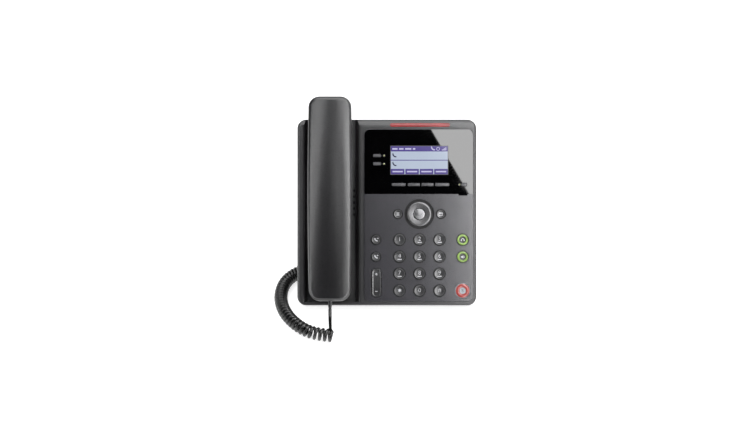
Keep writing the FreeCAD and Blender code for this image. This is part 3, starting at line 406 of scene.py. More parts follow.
@dataclass(frozen=True)
class SatinMetal(Grained):
    """Plated plastic or metal with a blasted surface."""

    grain: float = 3800.0
    depth: float = 0.00002
    metallic: float = 1.0
    relief: float = 0.4
    spread: Point2 = (-0.04, 0.05)
    patches: float = 240.0
    patch_detail: float = 3.0
    first: Point2 = (0.88, 0.0)
    second: Point2 = (1.0, 0.0)


@dataclass(frozen=True)
class SoftRubber(Grained):
    """Matt rubber or silicone with a dusty bloom."""

    grain: float = 1500.0
    depth: float = 0.00006
    grain_detail: float = 3.0
    relief: float = 0.5
    spread: Point2 = (-0.08, 0.08)
    patches: float = 120.0
    patch_detail: float = 5.0
    first: Point2 = (1.0, 0.0)
    second: Point2 = (1.5, 0.004)


@dataclass(frozen=True)
class GlossPlastic(Coating):
    """Polished plastic with faint wiping marks in its gloss."""

    roughness: float
    gloss: float = 0.5
    coat: float = 0.0
    coat_roughness: float = 0.012
    coat_ior: float = 1.8
    patches: float = 55.0
    wipes: float = 24.0
    wiped: Point2 = (1.8, 0.01)

    def paint(self, surface: Surface) -> None:
        """Lays faint patches of tone under the wiping marks.

        Args:
            surface: The material under construction.
        """
        surface.set(Specular_IOR_Level=self.gloss, Coat_Weight=self.coat)
        surface.set(Coat_Roughness=self.coat_roughness, Coat_IOR=self.coat_ior)
        factor, lift = self.wiped
        surface.feed(
            Base_Color=surface.tones(surface.noise(self.patches), self.tone, scaled(self.tone, 1.3, 0.0004)),
            Roughness=surface.between(
                surface.noise(self.wipes, detail=6.0), self.roughness, self.roughness * factor + lift
            ),
        )


@dataclass(frozen=True)
class LightPipe(Coating):
    """Clear tinted plastic lit from behind, a little uneven in its tint."""

    glow: float
    roughness: float = 0.22
    grain: float = 900.0
    spread: Point2 = (-0.04, 0.06)
    clouds: float = 160.0
    deep: float = 0.72
    coat: float = 0.4
    coat_roughness: float = 0.08

    def paint(self, surface: Surface) -> None:
        """Tints the plastic and its own light alike, under a clear skin.

        Args:
            surface: The material under construction.
        """
        tint = surface.tones(surface.noise(self.clouds, detail=2.0), scaled(self.tone, self.deep), self.tone)
        rough = surface.uneven(surface.noise(self.grain), self.roughness, self.spread)
        surface.feed(Base_Color=tint, Emission_Color=tint, Roughness=rough)
        surface.set(Emission_Strength=self.glow, Coat_Weight=self.coat, Coat_Roughness=self.coat_roughness)


@dataclass(frozen=True)
class SpunMetal(Coating):
    """Metal turned on a lathe, with fine grooves round its middle."""

    centre: Place
    groove: float = 0.00022
    groove_scale: float = 0.314
    groove_span: Point2 = (0.1, 0.9)
    wander: float = 0.3
    dark: float = 0.8
    depth: float = 0.00003
    relief: float = 0.1
    roughness: Point2 = (0.26, 0.34)
    patches: float = 700.0
    streak: float = 0.85

    def paint(self, surface: Surface) -> None:
        """Cuts the grooves and lets the gloss streak across them.

        Args:
            surface: The material under construction.
        """
        surface.set(Metallic=1.0, Anisotropic=self.streak)
        middle = surface.place(Vector(self.centre))
        rings = surface.node(
            "ShaderNodeTexWave",
            {"Scale": self.groove_scale / self.groove, "Distortion": self.wander},
            wave_type="RINGS",
            rings_direction="SPHERICAL",
        )
        surface.link(middle, rings.inputs["Vector"])
        along = surface.node("ShaderNodeVectorMath", operation="CROSS_PRODUCT")
        surface.link(surface.node("ShaderNodeNewGeometry").outputs["Normal"], along.inputs[0])
        surface.link(middle, along.inputs[1])
        surface.feed(
            Base_Color=surface.tones(
                rings.outputs["Fac"], scaled(self.tone, self.dark), self.tone, self.groove_span
            ),
            Roughness=surface.between(surface.noise(self.patches), *self.roughness),
            Tangent=along.outputs["Vector"],
        )
        surface.bump(rings.outputs["Fac"], self.depth, self.relief)


@dataclass(frozen=True)
class PrintedInk(Coating):
    """Ink on a key, a little uneven in its cover."""

    glow: float = 0.0
    speckle: float = 2200.0
    thin: float = 0.82
    grain: float = 900.0
    roughness: Point2 = (0.4, 0.55)

    def paint(self, surface: Surface) -> None:
        """Thins the cover in places and lets the ink glow by its glow; on the key legends that glow is painted
        light, with no lamp behind the print.

        Args:
            surface: The material under construction.
        """
        cover = surface.tones(surface.noise(self.speckle), scaled(self.tone, self.thin), self.tone)
        rough = surface.between(surface.noise(self.grain), *self.roughness)
        surface.feed(Base_Color=cover, Roughness=rough)
        if self.glow > 0.0:
            surface.feed(Emission_Color=cover)
            surface.set(Emission_Strength=self.glow)


@dataclass(frozen=True)
class LitGlass(Coating):
    """Picture layer of the display: backlight through cells, under polished glass."""

    glow: float
    cell: float = 0.00045
    cell_span: Point2 = (0.2, 0.6)
    cell_shade: float = 0.9
    film: float = 0.12
    film_shade: float = 0.8
    coat: float = 0.6
    coat_roughness: float = 0.03
    haze: float = 60.0
    roughness: Point2 = (0.12, 0.2)

    def paint(self, surface: Surface) -> None:
        """Draws the cells in light and, faintly, in the film that other light falls on.

        Args:
            surface: The material under construction.
        """
        cells = surface.node(
            "ShaderNodeTexVoronoi", {"Scale": 1.0 / self.cell, "Randomness": 0.0}, distance="CHEBYCHEV"
        )
        surface.link(surface.place(), cells.inputs["Vector"])
        reach, film = cells.outputs["Distance"], scaled(self.tone, self.film)
        shade, film_shade = scaled(self.tone, self.cell_shade), scaled(film, self.film_shade)
        surface.feed(
            Base_Color=surface.tones(reach, film, film_shade, self.cell_span),
            Emission_Color=surface.tones(reach, self.tone, shade, self.cell_span),
            Roughness=surface.between(surface.noise(self.haze), *self.roughness),
        )
        surface.set(Emission_Strength=self.glow, Coat_Weight=self.coat, Coat_Roughness=self.coat_roughness)


@dataclass(frozen=True)
class SolderMask(Coating):
    """Green board with faint tracks under its mask."""

    tracks: float = 420.0
    bright: float = 1.7
    haze: float = 300.0
    roughness: Point2 = (0.25, 0.35)

    def paint(self, surface: Surface) -> None:
        """Draws the tracks a little brighter than the board.

        Args:
            surface: The material under construction.
        """
        tracks = surface.node("ShaderNodeTexBrick", {"Scale": self.tracks})
        surface.link(surface.place(), tracks.inputs["Vector"])
        surface.feed(
            Base_Color=surface.tones(
                tracks.outputs["Fac"], self.tone, scaled(self.tone, self.bright), (0.2, 0.8)
            ),
            Roughness=surface.between(surface.noise(self.haze), *self.roughness),
        )


class Finish(Enum):
    """Every finish on the telephone."""

    HOUSING = MouldedPlastic("housing_plastic", (0.033, 0.033, 0.035), 0.36, gloss=0.7)
    PANEL = MouldedPlastic("panel_plastic", (0.02, 0.019, 0.026), 0.32, gloss=1.0)
    HANDSET = MouldedPlastic("handset_plastic", (0.0097, 0.0095, 0.011), 0.31, gloss=0.85)
    STAND = MouldedPlastic("stand_plastic", (0.03, 0.03, 0.032), 0.5, 2200.0)
    KEY = MouldedPlastic("key_plastic", (0.026, 0.026, 0.028), 0.31, 4200.0, 0.000015, 0.9)
    BAR_KEY = MouldedPlastic("bar_key_plastic", (0.083, 0.083, 0.09), 0.36, 4200.0, 0.00002)
    # Dark inner plastic of the jacks and inside parts; on the round keys' rims it is painted shade of the gaps
    # round the keys.
    INNER_AND_GAP_SHADE = MouldedPlastic("inner_plastic", (0.014, 0.014, 0.015), 0.5, 3000.0)
    LIT_CORE = MouldedPlastic("lit_core_plastic", (0.045, 0.048, 0.039), 0.3, 4200.0, 0.00002)
    PALE_CORE = MouldedPlastic("pale_core_plastic", (0.42, 0.45, 0.49), 0.35, 4200.0, 0.00002)
    LENS = GlossPlastic("lens_gloss", (0.0008, 0.0008, 0.001), 0.012, 1.0, 1.0)
    PLUG = GlossPlastic("plug_plastic", (0.026, 0.026, 0.029), 0.14)
    CORD = GlossPlastic("cord_plastic", (0.001, 0.001, 0.0012), 0.15, 0.7)
    RED_LIGHT = LightPipe("red_light", (0.3, 0.027, 0.03), 0.045)
    RED_RING = LightPipe("red_ring", (0.39, 0.045, 0.036), 0.06)
    GREEN_LIGHT = LightPipe("green_light", (0.26, 0.42, 0.075), 0.08)
    LAMP = LightPipe("lamp", (0.34, 0.36, 0.15), 0.14)
    RING = SatinMetal("nav_satin", (0.2, 0.2, 0.205), 0.3, metallic=0.85)
    STEEL = SatinMetal("screw_steel", (0.28, 0.28, 0.29), 0.32)
    CONTACT = SatinMetal("contact_gold", (0.72, 0.5, 0.16), 0.22)
    CAPSULE = SatinMetal("speaker_metal", (0.3, 0.3, 0.31), 0.4)
    CONE = SoftRubber("speaker_cone", (0.01, 0.01, 0.012), 0.7)
    RUBBER = SoftRubber("foot_rubber", (0.016, 0.016, 0.016), 0.75)
    SILICONE = SoftRubber("silicone", (0.28, 0.28, 0.29), 0.6)
    # The legend ink's faint glow is painted light that brightens the legends without a lamp.
    INK = PrintedInk("legend_ink", (0.72, 0.72, 0.75), 0.05)
    MARK = PrintedInk("dark_mark_ink", (0.065, 0.065, 0.072))
    BOARD = SolderMask("board", (0.026, 0.14, 0.058))
    DISPLAY_PALE = LitGlass("display_pale", (0.5, 0.57, 0.7), 0.86)
    DISPLAY_VIOLET = LitGlass("display_violet", (0.095, 0.07, 0.28), 0.86)
    DISPLAY_FRAME = LitGlass("display_frame", (0.2, 0.2, 0.22), 0.5)
    DISPLAY_INK = LitGlass("display_ink", (0.02, 0.015, 0.07), 0.6)
    DISPLAY_LIGHT = LitGlass("display_light", (0.62, 0.6, 0.86), 0.8)

    @cache
    def material(self) -> bpy.types.Material:
        """The finish's material, made once."""
        return self.value.build()


def link_object(name: str, data: bpy.types.ID) -> bpy.types.Object:
    """Puts new data into the scene as an object at the origin.

    Args:
        name: The object's name.
        data: Its mesh, curve, lamp or camera.

    Returns:
        The object.
    """
    made = bpy.data.objects.new(name, data)
    bpy.context.scene.collection.objects.link(made)
    return made


def plain_mesh(source: bpy.types.Object, name: str) -> bpy.types.Mesh:
    """Takes an object's evaluated shape as a plain mesh and removes the object.

    Args:
        source: The object with its modifiers or curve.
        name: Name of the mesh.

    Returns:
        The mesh.
    """
    bpy.context.view_layer.update()
    graph = bpy.context.evaluated_depsgraph_get()
    shape = source.evaluated_get(graph)
    mesh = bpy.data.meshes.new_from_object(shape, preserve_all_data_layers=True, depsgraph=graph)
    mesh.name = name
    bpy.data.objects.remove(source)
    return mesh


def body_of(node: str) -> str:
    """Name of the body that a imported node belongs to."""
    return frame["nodes"][node]["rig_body"]


def dress(mesh: bpy.types.Mesh, finish: Finish) -> None:
    """Gives a whole mesh one finish."""
    mesh.materials.clear()
    mesh.materials.append(finish.material())


def add_piece(
    name: str, mesh: bpy.types.Mesh, node: str, slot: str, stands_for: bool = True
) -> bpy.types.Object:
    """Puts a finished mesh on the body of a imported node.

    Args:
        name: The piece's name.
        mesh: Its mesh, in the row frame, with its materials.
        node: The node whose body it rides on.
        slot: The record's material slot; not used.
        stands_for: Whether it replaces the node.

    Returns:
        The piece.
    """
    piece = link_object(name, mesh)
    body = body_of(node)
    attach(piece, body)
    if stands_for:
        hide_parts(node)
    LOG.info("%s rides on %s with %d faces", name, body, len(mesh.polygons))
    return piece


def steady_normals(mesh: bpy.types.Mesh, sharp: float = 32.0, flat: float = 0.99999) -> None:
    """Sets corner normals that stay level over flat faces and run smoothly over curved ones.

    Args:
        mesh: The mesh to shade.
        sharp: Angle in degrees from which an edge shows.
        flat: Cosine above which neighbouring faces count as one flat face.
    """
    mesh.shade_smooth()
    shape = bmesh.new()
    shape.from_mesh(mesh)
    extent: dict[bmesh.types.BMFace, float] = {}
    for seed in shape.faces:
        if seed in extent:
            continue
        extent[seed] = 0.0
        group = [seed]
        for face in group:
            for neighbour in (other for edge in face.edges for other in edge.link_faces):
                if neighbour not in extent and neighbour.normal.dot(seed.normal) > flat:
                    extent[neighbour] = 0.0
                    group.append(neighbour)
        area = sum(face.calc_area() for face in group)
        extent.update((face, area) for face in group)
    for edge in shape.edges:
        edge.smooth = edge.calc_face_angle(math.pi) < math.radians(sharp)
    normals: list[Vector] = []
    for face in shape.faces:
        for loop in face.loops:
            fan = [face]
            for near in fan:
                for edge in loop.vert.link_edges:
                    if edge.smooth and near in edge.link_faces:
                        fan.extend(other for other in edge.link_faces if other not in fan)
            largest = max(extent[near] for near in fan) + 1e-12
            total = sum((near.normal * (extent[near] / largest) ** 2 for near in fan), Vector())
            normals.append(total.normalized() if total.length > 1e-9 else face.normal.copy())
    shape.to_mesh(mesh)
    shape.free()
    mesh.normals_split_custom_set(normals)


@dataclass(frozen=True)
class SkinMaker:
    """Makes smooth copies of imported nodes, with merged faces and rounded edges."""

    merge: float = 2e-6
    level: float = math.radians(0.2)
    sharp: float = math.radians(38.0)
    segments: int = 3

    def make(self, node: str, finish: Finish, edge: float, slot: str) -> bpy.types.Object:
        """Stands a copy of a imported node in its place.

        Args:
            node: The node's name.
            finish: The copy's finish.
            edge: Radius of its edges, or zero to leave them sharp.
            slot: The record's material slot.

        Returns:
            The piece.
        """
        name = node + "_skin"
        shape = bmesh.new()
        shape.from_mesh(frame["nodes"][node].data)
        bmesh.ops.remove_doubles(shape, verts=shape.verts, dist=self.merge)
        bmesh.ops.dissolve_limit(shape, angle_limit=self.level, verts=shape.verts, edges=shape.edges)
        mesh = bpy.data.meshes.new(name)
        shape.to_mesh(mesh)
        shape.free()
        if edge > 0.0:
            carrier = link_object(node + "_carrier", mesh)
            bevel = carrier.modifiers.new("edges", "BEVEL")
            bevel.width = edge
            bevel.segments = self.segments
            bevel.limit_method = "ANGLE"
            bevel.angle_limit = self.sharp
            bevel.use_clamp_overlap = False
            mesh = plain_mesh(carrier, name)
        steady_normals(mesh)
        dress(mesh, finish)
        return add_piece(name, mesh, node, slot)


SKINS = SkinMaker()


def rounded_outline(corners: Sequence[Corner], closed: bool, steps: int = 5) -> list[Point2]:
    """Points of an outline whose corners are rounded.

    Args:
        corners: Two coordinates and the rounding of each corner, in turn.
        closed: True where the last corner joins the first.
        steps: Straight pieces of a rounded corner.

    Returns:
        The points.
    """
    room = 0.49
    points: list[Point2] = []
    for index, (a, b, rounding) in enumerate(corners):
        inside = closed or 0 < index < len(corners) - 1
        if rounding <= 0.0 or not inside:
            points.append((a, b))
            continue
        here = Vector((a, b))
        back = Vector(corners[index - 1][:2]) - here
        ahead = Vector(corners[(index + 1) % len(corners)][:2]) - here
        first, last = (here + way.normalized() * min(rounding, way.length * room) for way in (back, ahead))
        for share in (step / steps for step in range(steps + 1)):
            place = first.lerp(here, share).lerp(here.lerp(last, share), share)
            points.append((place.x, place.y))
    return points


class FaceWork:
    """Closed solids drawn in the frame of the face and gathered into one piece."""

    turn_sides = 72
    stroke_step = 0.001
    bow_step = 20.0
    figure_share = 0.72
    figure_thinning = 0.018
    show_angle = math.radians(35.0)

    def __init__(
        self,
        origin: Point2,
        level: float | Callable[[float, float], float],
        thickness: float = 0.00003,
        ink: int = 1,
    ) -> None:
        """Starts an empty piece.

        Args:
            origin: Its middle on the face.
            level: Level that its marks lie on, or its rule by the place measured from the middle.
            thickness: How far marks stand out of that level.
            ink: Index of the material in which marks are drawn.
        """
        self.origin = origin
        self.level = level if callable(level) else lambda u, v: level
        self.thickness = thickness
        self.ink = ink
        self.shape = bmesh.new()

    def _at(self, u: float, v: float, w: float) -> bmesh.types.BMVert:
        """New corner at a place measured from the middle, at a level."""
        return self.shape.verts.new(FACE.point(self.origin[0] + u, self.origin[1] + v, w))

    def _loops(self, loops: Sequence[Sequence[bmesh.types.BMVert]], material: int) -> None:
        """Joins loops of corners in turn with faces.

        Args:
            loops: The loops; one of a single corner is a pole.
            material: Index of the faces' material.
        """
        for low, high in zip(loops, loops[1:]):
            count = max(len(low), len(high))
            for i in range(count):
                j = (i + 1) % count
                ends = [low[i % len(low)], low[j % len(low)], high[j % len(high)], high[i % len(high)]]
                corners = list(dict.fromkeys(ends))
                if len(corners) > 2:
                    self.shape.faces.new(corners).material_index = material

    def _stack(self, loops: Sequence[Sequence[bmesh.types.BMVert]], material: int) -> None:
        """Joins loops of corners in turn and closes the foot and the top.

        Args:
            loops: The loops, from the foot to the top.
            material: Index of the faces' material.
        """
        self._loops(loops, material)
        for loop in (loops[0][::-1], loops[-1]):
            self.shape.faces.new(loop).material_index = material

    def turned(self, profile: Sequence[Corner | TurnPoint], closed: bool, material: int = 0) -> None:
        """Adds a solid of revolution about the middle.

        Args:
            profile: Radius, or its rule by angle, level and any rounding of each corner: from axis to axis,
                or round a ring.
            closed: True for a ring.
            material: Index of its material.
        """
        turns = [FULL_TURN * i / self.turn_sides for i in range(self.turn_sides)]
        loops = []
        for radius, level in rounded_outline([(*corner, 0.0)[:3] for corner in profile], closed):
            if radius == 0.0:
                loops.append([self._at(0.0, 0.0, level)])
                continue
            reach = [radius(t) if callable(radius) else radius for t in turns]
            loops.append([self._at(r * math.cos(t), r * math.sin(t), level) for r, t in zip(reach, turns)])
        self._loops(loops + loops[:1] if closed else loops, material)

    def pillar(
        self,
        size: Point2,
        radius: float,
        layers: Sequence[Point2],
        crown: Callable[[float], float] = lambda v: 0.0,
        material: int = 0,
    ) -> None:
        """Adds an upright solid with a rounded rectangle for its plan.

        Args:
            size: Width and height of the plan.
            radius: Radius of its corners.
            layers: Inset and level of each layer, from the foot to the top.
            crown: How far the layers fall at a place along the plan's height.
            material: Index of its material.
        """
        least_radius, corner_steps = 0.00002, 8
        loops = []
        for inset, level in layers:
            a, b = size[0] / 2.0 - inset, size[1] / 2.0 - inset
            r = max(radius - inset, least_radius)
            outline = rounded_outline([(a, -b, r), (a, b, r), (-a, b, r), (-a, -b, r)], True, corner_steps)
            loops.append([self._at(u, v, level - crown(v)) for u, v in outline])
        self._stack(loops, material)

    def prism(self, outline: Sequence[Point2]) -> None:
        """Adds a thin mark over an outline.

        Args:
            outline: Its corners in turn, from the middle.
        """
        lifts = (-self.thickness, self.thickness)
        loops = [[self._at(u, v, self.level(u, v) + lift) for u, v in outline] for lift in lifts]
        self._stack(loops, self.ink)

    def block(self, left: float, foot: float, right: float, head: float) -> None:
        """Adds a rectangular mark between four edges."""
        self.prism([(left, foot), (right, foot), (right, head), (left, head)])

    def bar(self, start: Point2, end: Point2, width: float) -> None:
        """Adds a straight stroke, in short lengths that follow the level.

        Args:
            start: One end.
            end: The other end.
            width: The stroke's width.
        """
        a, b = Vector(start), Vector(end)
        along = (b - a).normalized() * (width / 2.0)
        side = Vector((-along.y, along.x))
        pieces = max(1, round((b - a).length / self.stroke_step))
        for step in range(pieces):
            near, far = a.lerp(b, step / pieces), a.lerp(b, (step + 1) / pieces)
            self.prism([(c.x, c.y) for c in (near - side, far - side, far + side, near + side)])

    def arc(self, middle: Point2, radius: float, span: Point2, width: float) -> None:
        """Adds a stroke along an arc.

        Args:
            middle: The arc's centre.
            radius: Radius of the stroke's middle line.
            span: First and last angle in degrees, anticlockwise from the right.
            width: The stroke's width.
        """
        steps = max(4, round(abs(span[1] - span[0]) / self.bow_step))
        angles = [math.radians(span[0] + (span[1] - span[0]) * i / steps) for i in range(steps + 1)]
        for first, second in zip(angles, angles[1:]):
            quad = []
            for angle, reach in ((first, 1), (second, 1), (second, -1), (first, -1)):
                r = radius + reach * width / 2.0
                quad.append((middle[0] + r * math.cos(angle), middle[1] + r * math.sin(angle)))
            self.prism(quad)

    def receiver_mark(self, middle: Point2, size: float) -> None:
        """Adds the sign of a telephone receiver, lying from upper left to lower right.

        Args:
            middle: Its centre.
            size: Its length.
        """
        grip, cup, reach = 0.22 * size, 0.32 * size, 0.62 * size
        shift = 0.42 * size
        u, v = middle[0] + shift, middle[1] + shift
        self.arc((u, v), reach, (186.0, 264.0), grip)
        for turn in (math.radians(190.0), math.radians(260.0)):
            ends = [share * reach for share in (1.1, 0.82)]
            outer, inner = ((u + end * math.cos(turn), v + end * math.sin(turn)) for end in ends)
            self.bar(outer, inner, cup)

    def glyph(self, text: str, middle: Point2, size: float) -> None:
        """Adds a plain figure, centred on a place.

        Args:
            text: The figure.
            middle: Place of its centre.
            size: Its height in metres.
        """
        curve = bpy.data.curves.new("figure", "FONT")
        curve.body = text
        curve.size = size / self.figure_share
        curve.extrude = self.thickness
        curve.offset = -self.figure_thinning * size
        curve.resolution_u = 3
        curve.align_x = "CENTER"
        mesh = plain_mesh(link_object("figure", curve), "figure")
        heights = [vertex.co.y for vertex in mesh.vertices]
        rise = middle[1] - (min(heights) + max(heights)) / 2.0
        for vertex in mesh.vertices:
            u, v = vertex.co.x + middle[0], vertex.co.y + rise
            vertex.co = FACE.point(self.origin[0] + u, self.origin[1] + v, self.level(u, v) + vertex.co.z)
        first = len(self.shape.faces)
        self.shape.from_mesh(mesh)
        self.shape.faces.ensure_lookup_table()
        for face in self.shape.faces[first:]:
            face.material_index = self.ink
        bpy.data.meshes.remove(mesh)

    def mesh(self, name: str, *finishes: Finish) -> bpy.types.Mesh:
        """Closes the work as a mesh.

        Args:
            name: The mesh's name.
            finishes: Its materials in the order of their indexes.

        Returns:
            The mesh.
        """
        bmesh.ops.remove_doubles(self.shape, verts=self.shape.verts, dist=1e-7)
        bmesh.ops.recalc_face_normals(self.shape, faces=self.shape.faces)
        mesh = bpy.data.meshes.new(name)
        self.shape.to_mesh(mesh)
        self.shape.free()
        mesh.shade_smooth()
        mesh.set_sharp_from_angle(angle=self.show_angle)
        for finish in finishes:
            mesh.materials.append(finish.material())
        return mesh

    def build(
        self, name: str, finishes: Sequence[Finish], slot: str, node: str, stands_for: bool = True
    ) -> None:
        """Turns the work into a piece with finishes, as add_piece does with a mesh."""
        add_piece(name, self.mesh(name, *finishes), node, slot, stands_for)


class NodeRecipe(NodeWork):
    """A Geometry Nodes tree with named inputs, turned into a plain mesh when it is run."""

    def __init__(self, name: str, **inputs: str) -> None:
        """Starts a tree.

        Args:
            name: The tree's name.
            inputs: Socket type of each input after the geometry, by its label.
        """
        super().__init__(bpy.data.node_groups.new(name, "GeometryNodeTree"))
        face = self.tree.interface
        for way in ("INPUT", "OUTPUT"):
            face.new_socket("Geometry", in_out=way, socket_type="NodeSocketGeometry")
        self.ids: dict[str, str] = {}
        for label, kind in inputs.items():
            socket = face.new_socket(label, in_out="INPUT", socket_type="NodeSocket" + kind)
            self.ids[label] = socket.identifier
        self.start = self.node("NodeGroupInput")
        self.end = self.node("NodeGroupOutput")

    def close(self, geometry: Any) -> None:
        """Ends the tree: instances made real, smooth shading and material set.

        Args:
            geometry: Socket of the finished geometry.
        """
        real = self.node("GeometryNodeRealizeInstances")
        shade = self.node("GeometryNodeSetShadeSmooth", {"Shade Smooth": True})
        coat = self.node("GeometryNodeSetMaterial")
        for step in (real, shade, coat):
            self.link(geometry, step.inputs["Geometry"])
            geometry = step.outputs["Geometry"]
        self.link(self.start.outputs["Material"], coat.inputs["Material"])
        self.link(geometry, self.end.inputs["Geometry"])

    def run(self, carrier: bpy.types.Object, name: str, **values: Any) -> bpy.types.Mesh:
        """Runs the tree on an object and takes the result as a plain mesh.

        Args:
            carrier: Object that holds the starting geometry; it is removed.
            name: Name of the mesh.
            values: Value of each input by its label.

        Returns:
            The mesh.
        """
        modifier = carrier.modifiers.new("recipe", "NODES")
        modifier.node_group = self.tree
        for label, value in values.items():
            modifier[self.ids[label]] = value
        return plain_mesh(carrier, name)


def wire_recipe() -> NodeRecipe:
    """Recipe that sweeps a round wire along a curve.

    Returns:
        The recipe, with inputs for the wire's radius, its sides and its material.
    """
    recipe = NodeRecipe("wire_along_route", Radius="Float", Sides="Int", Material="Material")
    given = recipe.start.outputs
    section = recipe.node("GeometryNodeCurvePrimitiveCircle", mode="RADIUS")
    recipe.link(given["Radius"], section.inputs["Radius"])
    recipe.link(given["Sides"], section.inputs["Resolution"])
    sweep = recipe.node("GeometryNodeCurveToMesh", {"Fill Caps": True})
    recipe.link(given["Geometry"], sweep.inputs["Curve"])
    recipe.link(section.outputs["Curve"], sweep.inputs["Profile Curve"])
    recipe.close(sweep.outputs["Mesh"])
    return recipe


def row_recipe() -> NodeRecipe:
    """Recipe that repeats a shape along a straight row.

    Returns:
        The recipe, with inputs for the count, the step and the material.
    """
    recipe = NodeRecipe("row_of_copies", Count="Int", Step="Vector", Material="Material")
    given = recipe.start.outputs
    line = recipe.node("GeometryNodeMeshLine", mode="OFFSET")
    recipe.link(given["Count"], line.inputs["Count"])
    recipe.link(given["Step"], line.inputs["Offset"])
    copies = recipe.node("GeometryNodeInstanceOnPoints")
    recipe.link(line.outputs["Mesh"], copies.inputs["Points"])
    recipe.link(given["Geometry"], copies.inputs["Instance"])
    recipe.close(copies.outputs["Instances"])
    return recipe


class Line(Enum):
    """How a curve runs through its points."""

    STRAIGHT = "POLY"
    SMOOTH = "NURBS"


def curve_through(
    name: str, points: Sequence[Sequence[float]], line: Line, fineness: int = 12
) -> bpy.types.Object:
    """Open curve through points, or steered by them.

    Args:
        name: Its name.
        points: Its points in the row frame.
        line: How it runs.
        fineness: Points of a smooth line for each point given.

    Returns:
        The curve object.
    """
    curve = bpy.data.curves.new(name, "CURVE")
    curve.dimensions = "3D"
    curve.resolution_u = fineness
    spline = curve.splines.new(line.value)
    spline.points.add(len(points) - 1)
    for target, place in zip(spline.points, points):
        target.co = (*place, 1.0)
    if line is Line.SMOOTH:
        spline.order_u = 3
        spline.use_endpoint_u = True
    return link_object(name, curve)


def smooth_points(route: Sequence[Place], fineness: int) -> list[Vector]:
    """Points of the smooth line that a cord's route steers.

    Args:
        route: The route's points in metres.
        fineness: Points of the line for each point of the route.

    Returns:
        Points along the line.
    """
    mesh = plain_mesh(curve_through("route", route, Line.SMOOTH, fineness), "route")
    points = [vertex.co.copy() for vertex in mesh.vertices]
    bpy.data.meshes.remove(mesh)
    return points


@dataclass
class HandsetCord:
    """Curly cord from the foot of the handset round to the socket in the back, in metres."""

    wire_d: float = 0.0034
    loop_r: float = 0.0052
    tight_pitch: float = 0.0036
    open_pitch: float = 0.0052
    open_until: float = 0.075
    points_per_turn: int = 18
    last_turn: float = 0.75
    sides: int = 12
    coil_fineness: int = 40
    lead_fineness: int = 16
    lead: tuple[Place, ...] = (
        (-0.0568, -0.07482, 0.01606), (-0.05675, -0.0791, 0.0118), (-0.05665, -0.0854, 0.0102),
        (-0.0565, -0.0921, 0.0104), (-0.05635, -0.0987, 0.011),
    )
    coil_z: float = 0.007
    coil: tuple[Point2, ...] = (
        (-0.0545, -0.1031), (-0.0705, -0.1011), (-0.084, -0.0939), (-0.0948, -0.0827), (-0.1018, -0.0711),
        (-0.1056, -0.0591), (-0.1065, -0.0475), (-0.1049, -0.0365), (-0.101, -0.0267), (-0.0943, -0.0187),
        (-0.0852, -0.0124), (-0.074, -0.0071), (-0.0616, -0.0035), (-0.0486, -0.0012), (-0.0356, -0.0006),
        (-0.0226, -0.0015), (-0.0104, -0.0035), (-0.003, -0.0057),
    )
    base: tuple[Place, ...] = (
        (-0.0043, -0.0103, 0.0078), (-0.0041, -0.0107, 0.0144), (-0.0032, -0.0107, 0.0206),
        (-0.002, -0.0117, 0.0264), (-0.0008, -0.0141, 0.0324), (0.0001, -0.0167, 0.039),
        (0.00045, -0.0167, 0.0454), (0.0005, -0.0136, 0.0505), (0.0005, -0.00948, 0.05467),
    )
    stretch_from: Place = (-0.0568, -0.022, 0.006)
    stretch_to: Place = (-0.0568, -0.0735, 0.006)

    def pitch(self, along: float) -> float:
        """Spacing of the loops at a distance from the handset's end of the coil."""
        share = min(1.0, along / self.open_until)
        return self.open_pitch + (self.tight_pitch - self.open_pitch) * share * share * (3.0 - 2.0 * share)

    def helix(self) -> list[Vector]:
        """Loops of the coil, wound round the smooth line of its route.

        Returns:
            Points of the wire's middle line, ending on the side where the base lead starts.
        """
        line = smooth_points([(x, y, self.coil_z) for x, y in self.coil], self.coil_fineness)
        gone = [0.0]
        for a, b in zip(line, line[1:]):
            gone.append(gone[-1] + (b - a).length)
        up = Vector((0.0, 0.0, 1.0))
        points = []
        along, turn, index = 0.0, 0.0, 0
        while along < gone[-1]:
            while gone[index + 1] < along:
                index += 1
            share = (along - gone[index]) / (gone[index + 1] - gone[index])
            middle = line[index].lerp(line[index + 1], share)
            side = up.cross((line[index + 1] - line[index]).normalized())
            points.append(middle + self.loop_r * (math.cos(turn) * up + math.sin(turn) * side))
            turn += FULL_TURN / self.points_per_turn
            along += self.pitch(along) / self.points_per_turn
        spare = round((turn % FULL_TURN) / FULL_TURN * self.points_per_turn)
        drop = (spare - round(self.last_turn * self.points_per_turn)) % self.points_per_turn
        return points[: len(points) - drop]

    def build(self, ends: Sequence[bpy.types.Object]) -> None:
        """Args:
            ends: The pieces of its two plugs; not used.
        """
        lead, base = (smooth_points(route, self.lead_fineness) for route in (self.lead, self.base))
        path = lead[:-1] + self.helix() + base[1:]
        length = sum((b - a).length for a, b in zip(path, path[1:]))
        mesh = wire_recipe().run(
            curve_through("cord_line", path, Line.STRAIGHT),
            "handset_cord",
            Radius=self.wire_d / 2.0,
            Sides=self.sides,
            Material=Finish.CORD.material(),
        )
        piece = link_object("handset_cord", mesh)
        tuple(self.stretch_from)
        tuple(self.stretch_to)
        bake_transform(piece)
        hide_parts("cord_handset_lead", "cord_coil", "cord_base_lead")
        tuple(path[0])
        LOG.info("handset_cord is %.3f m long", length)


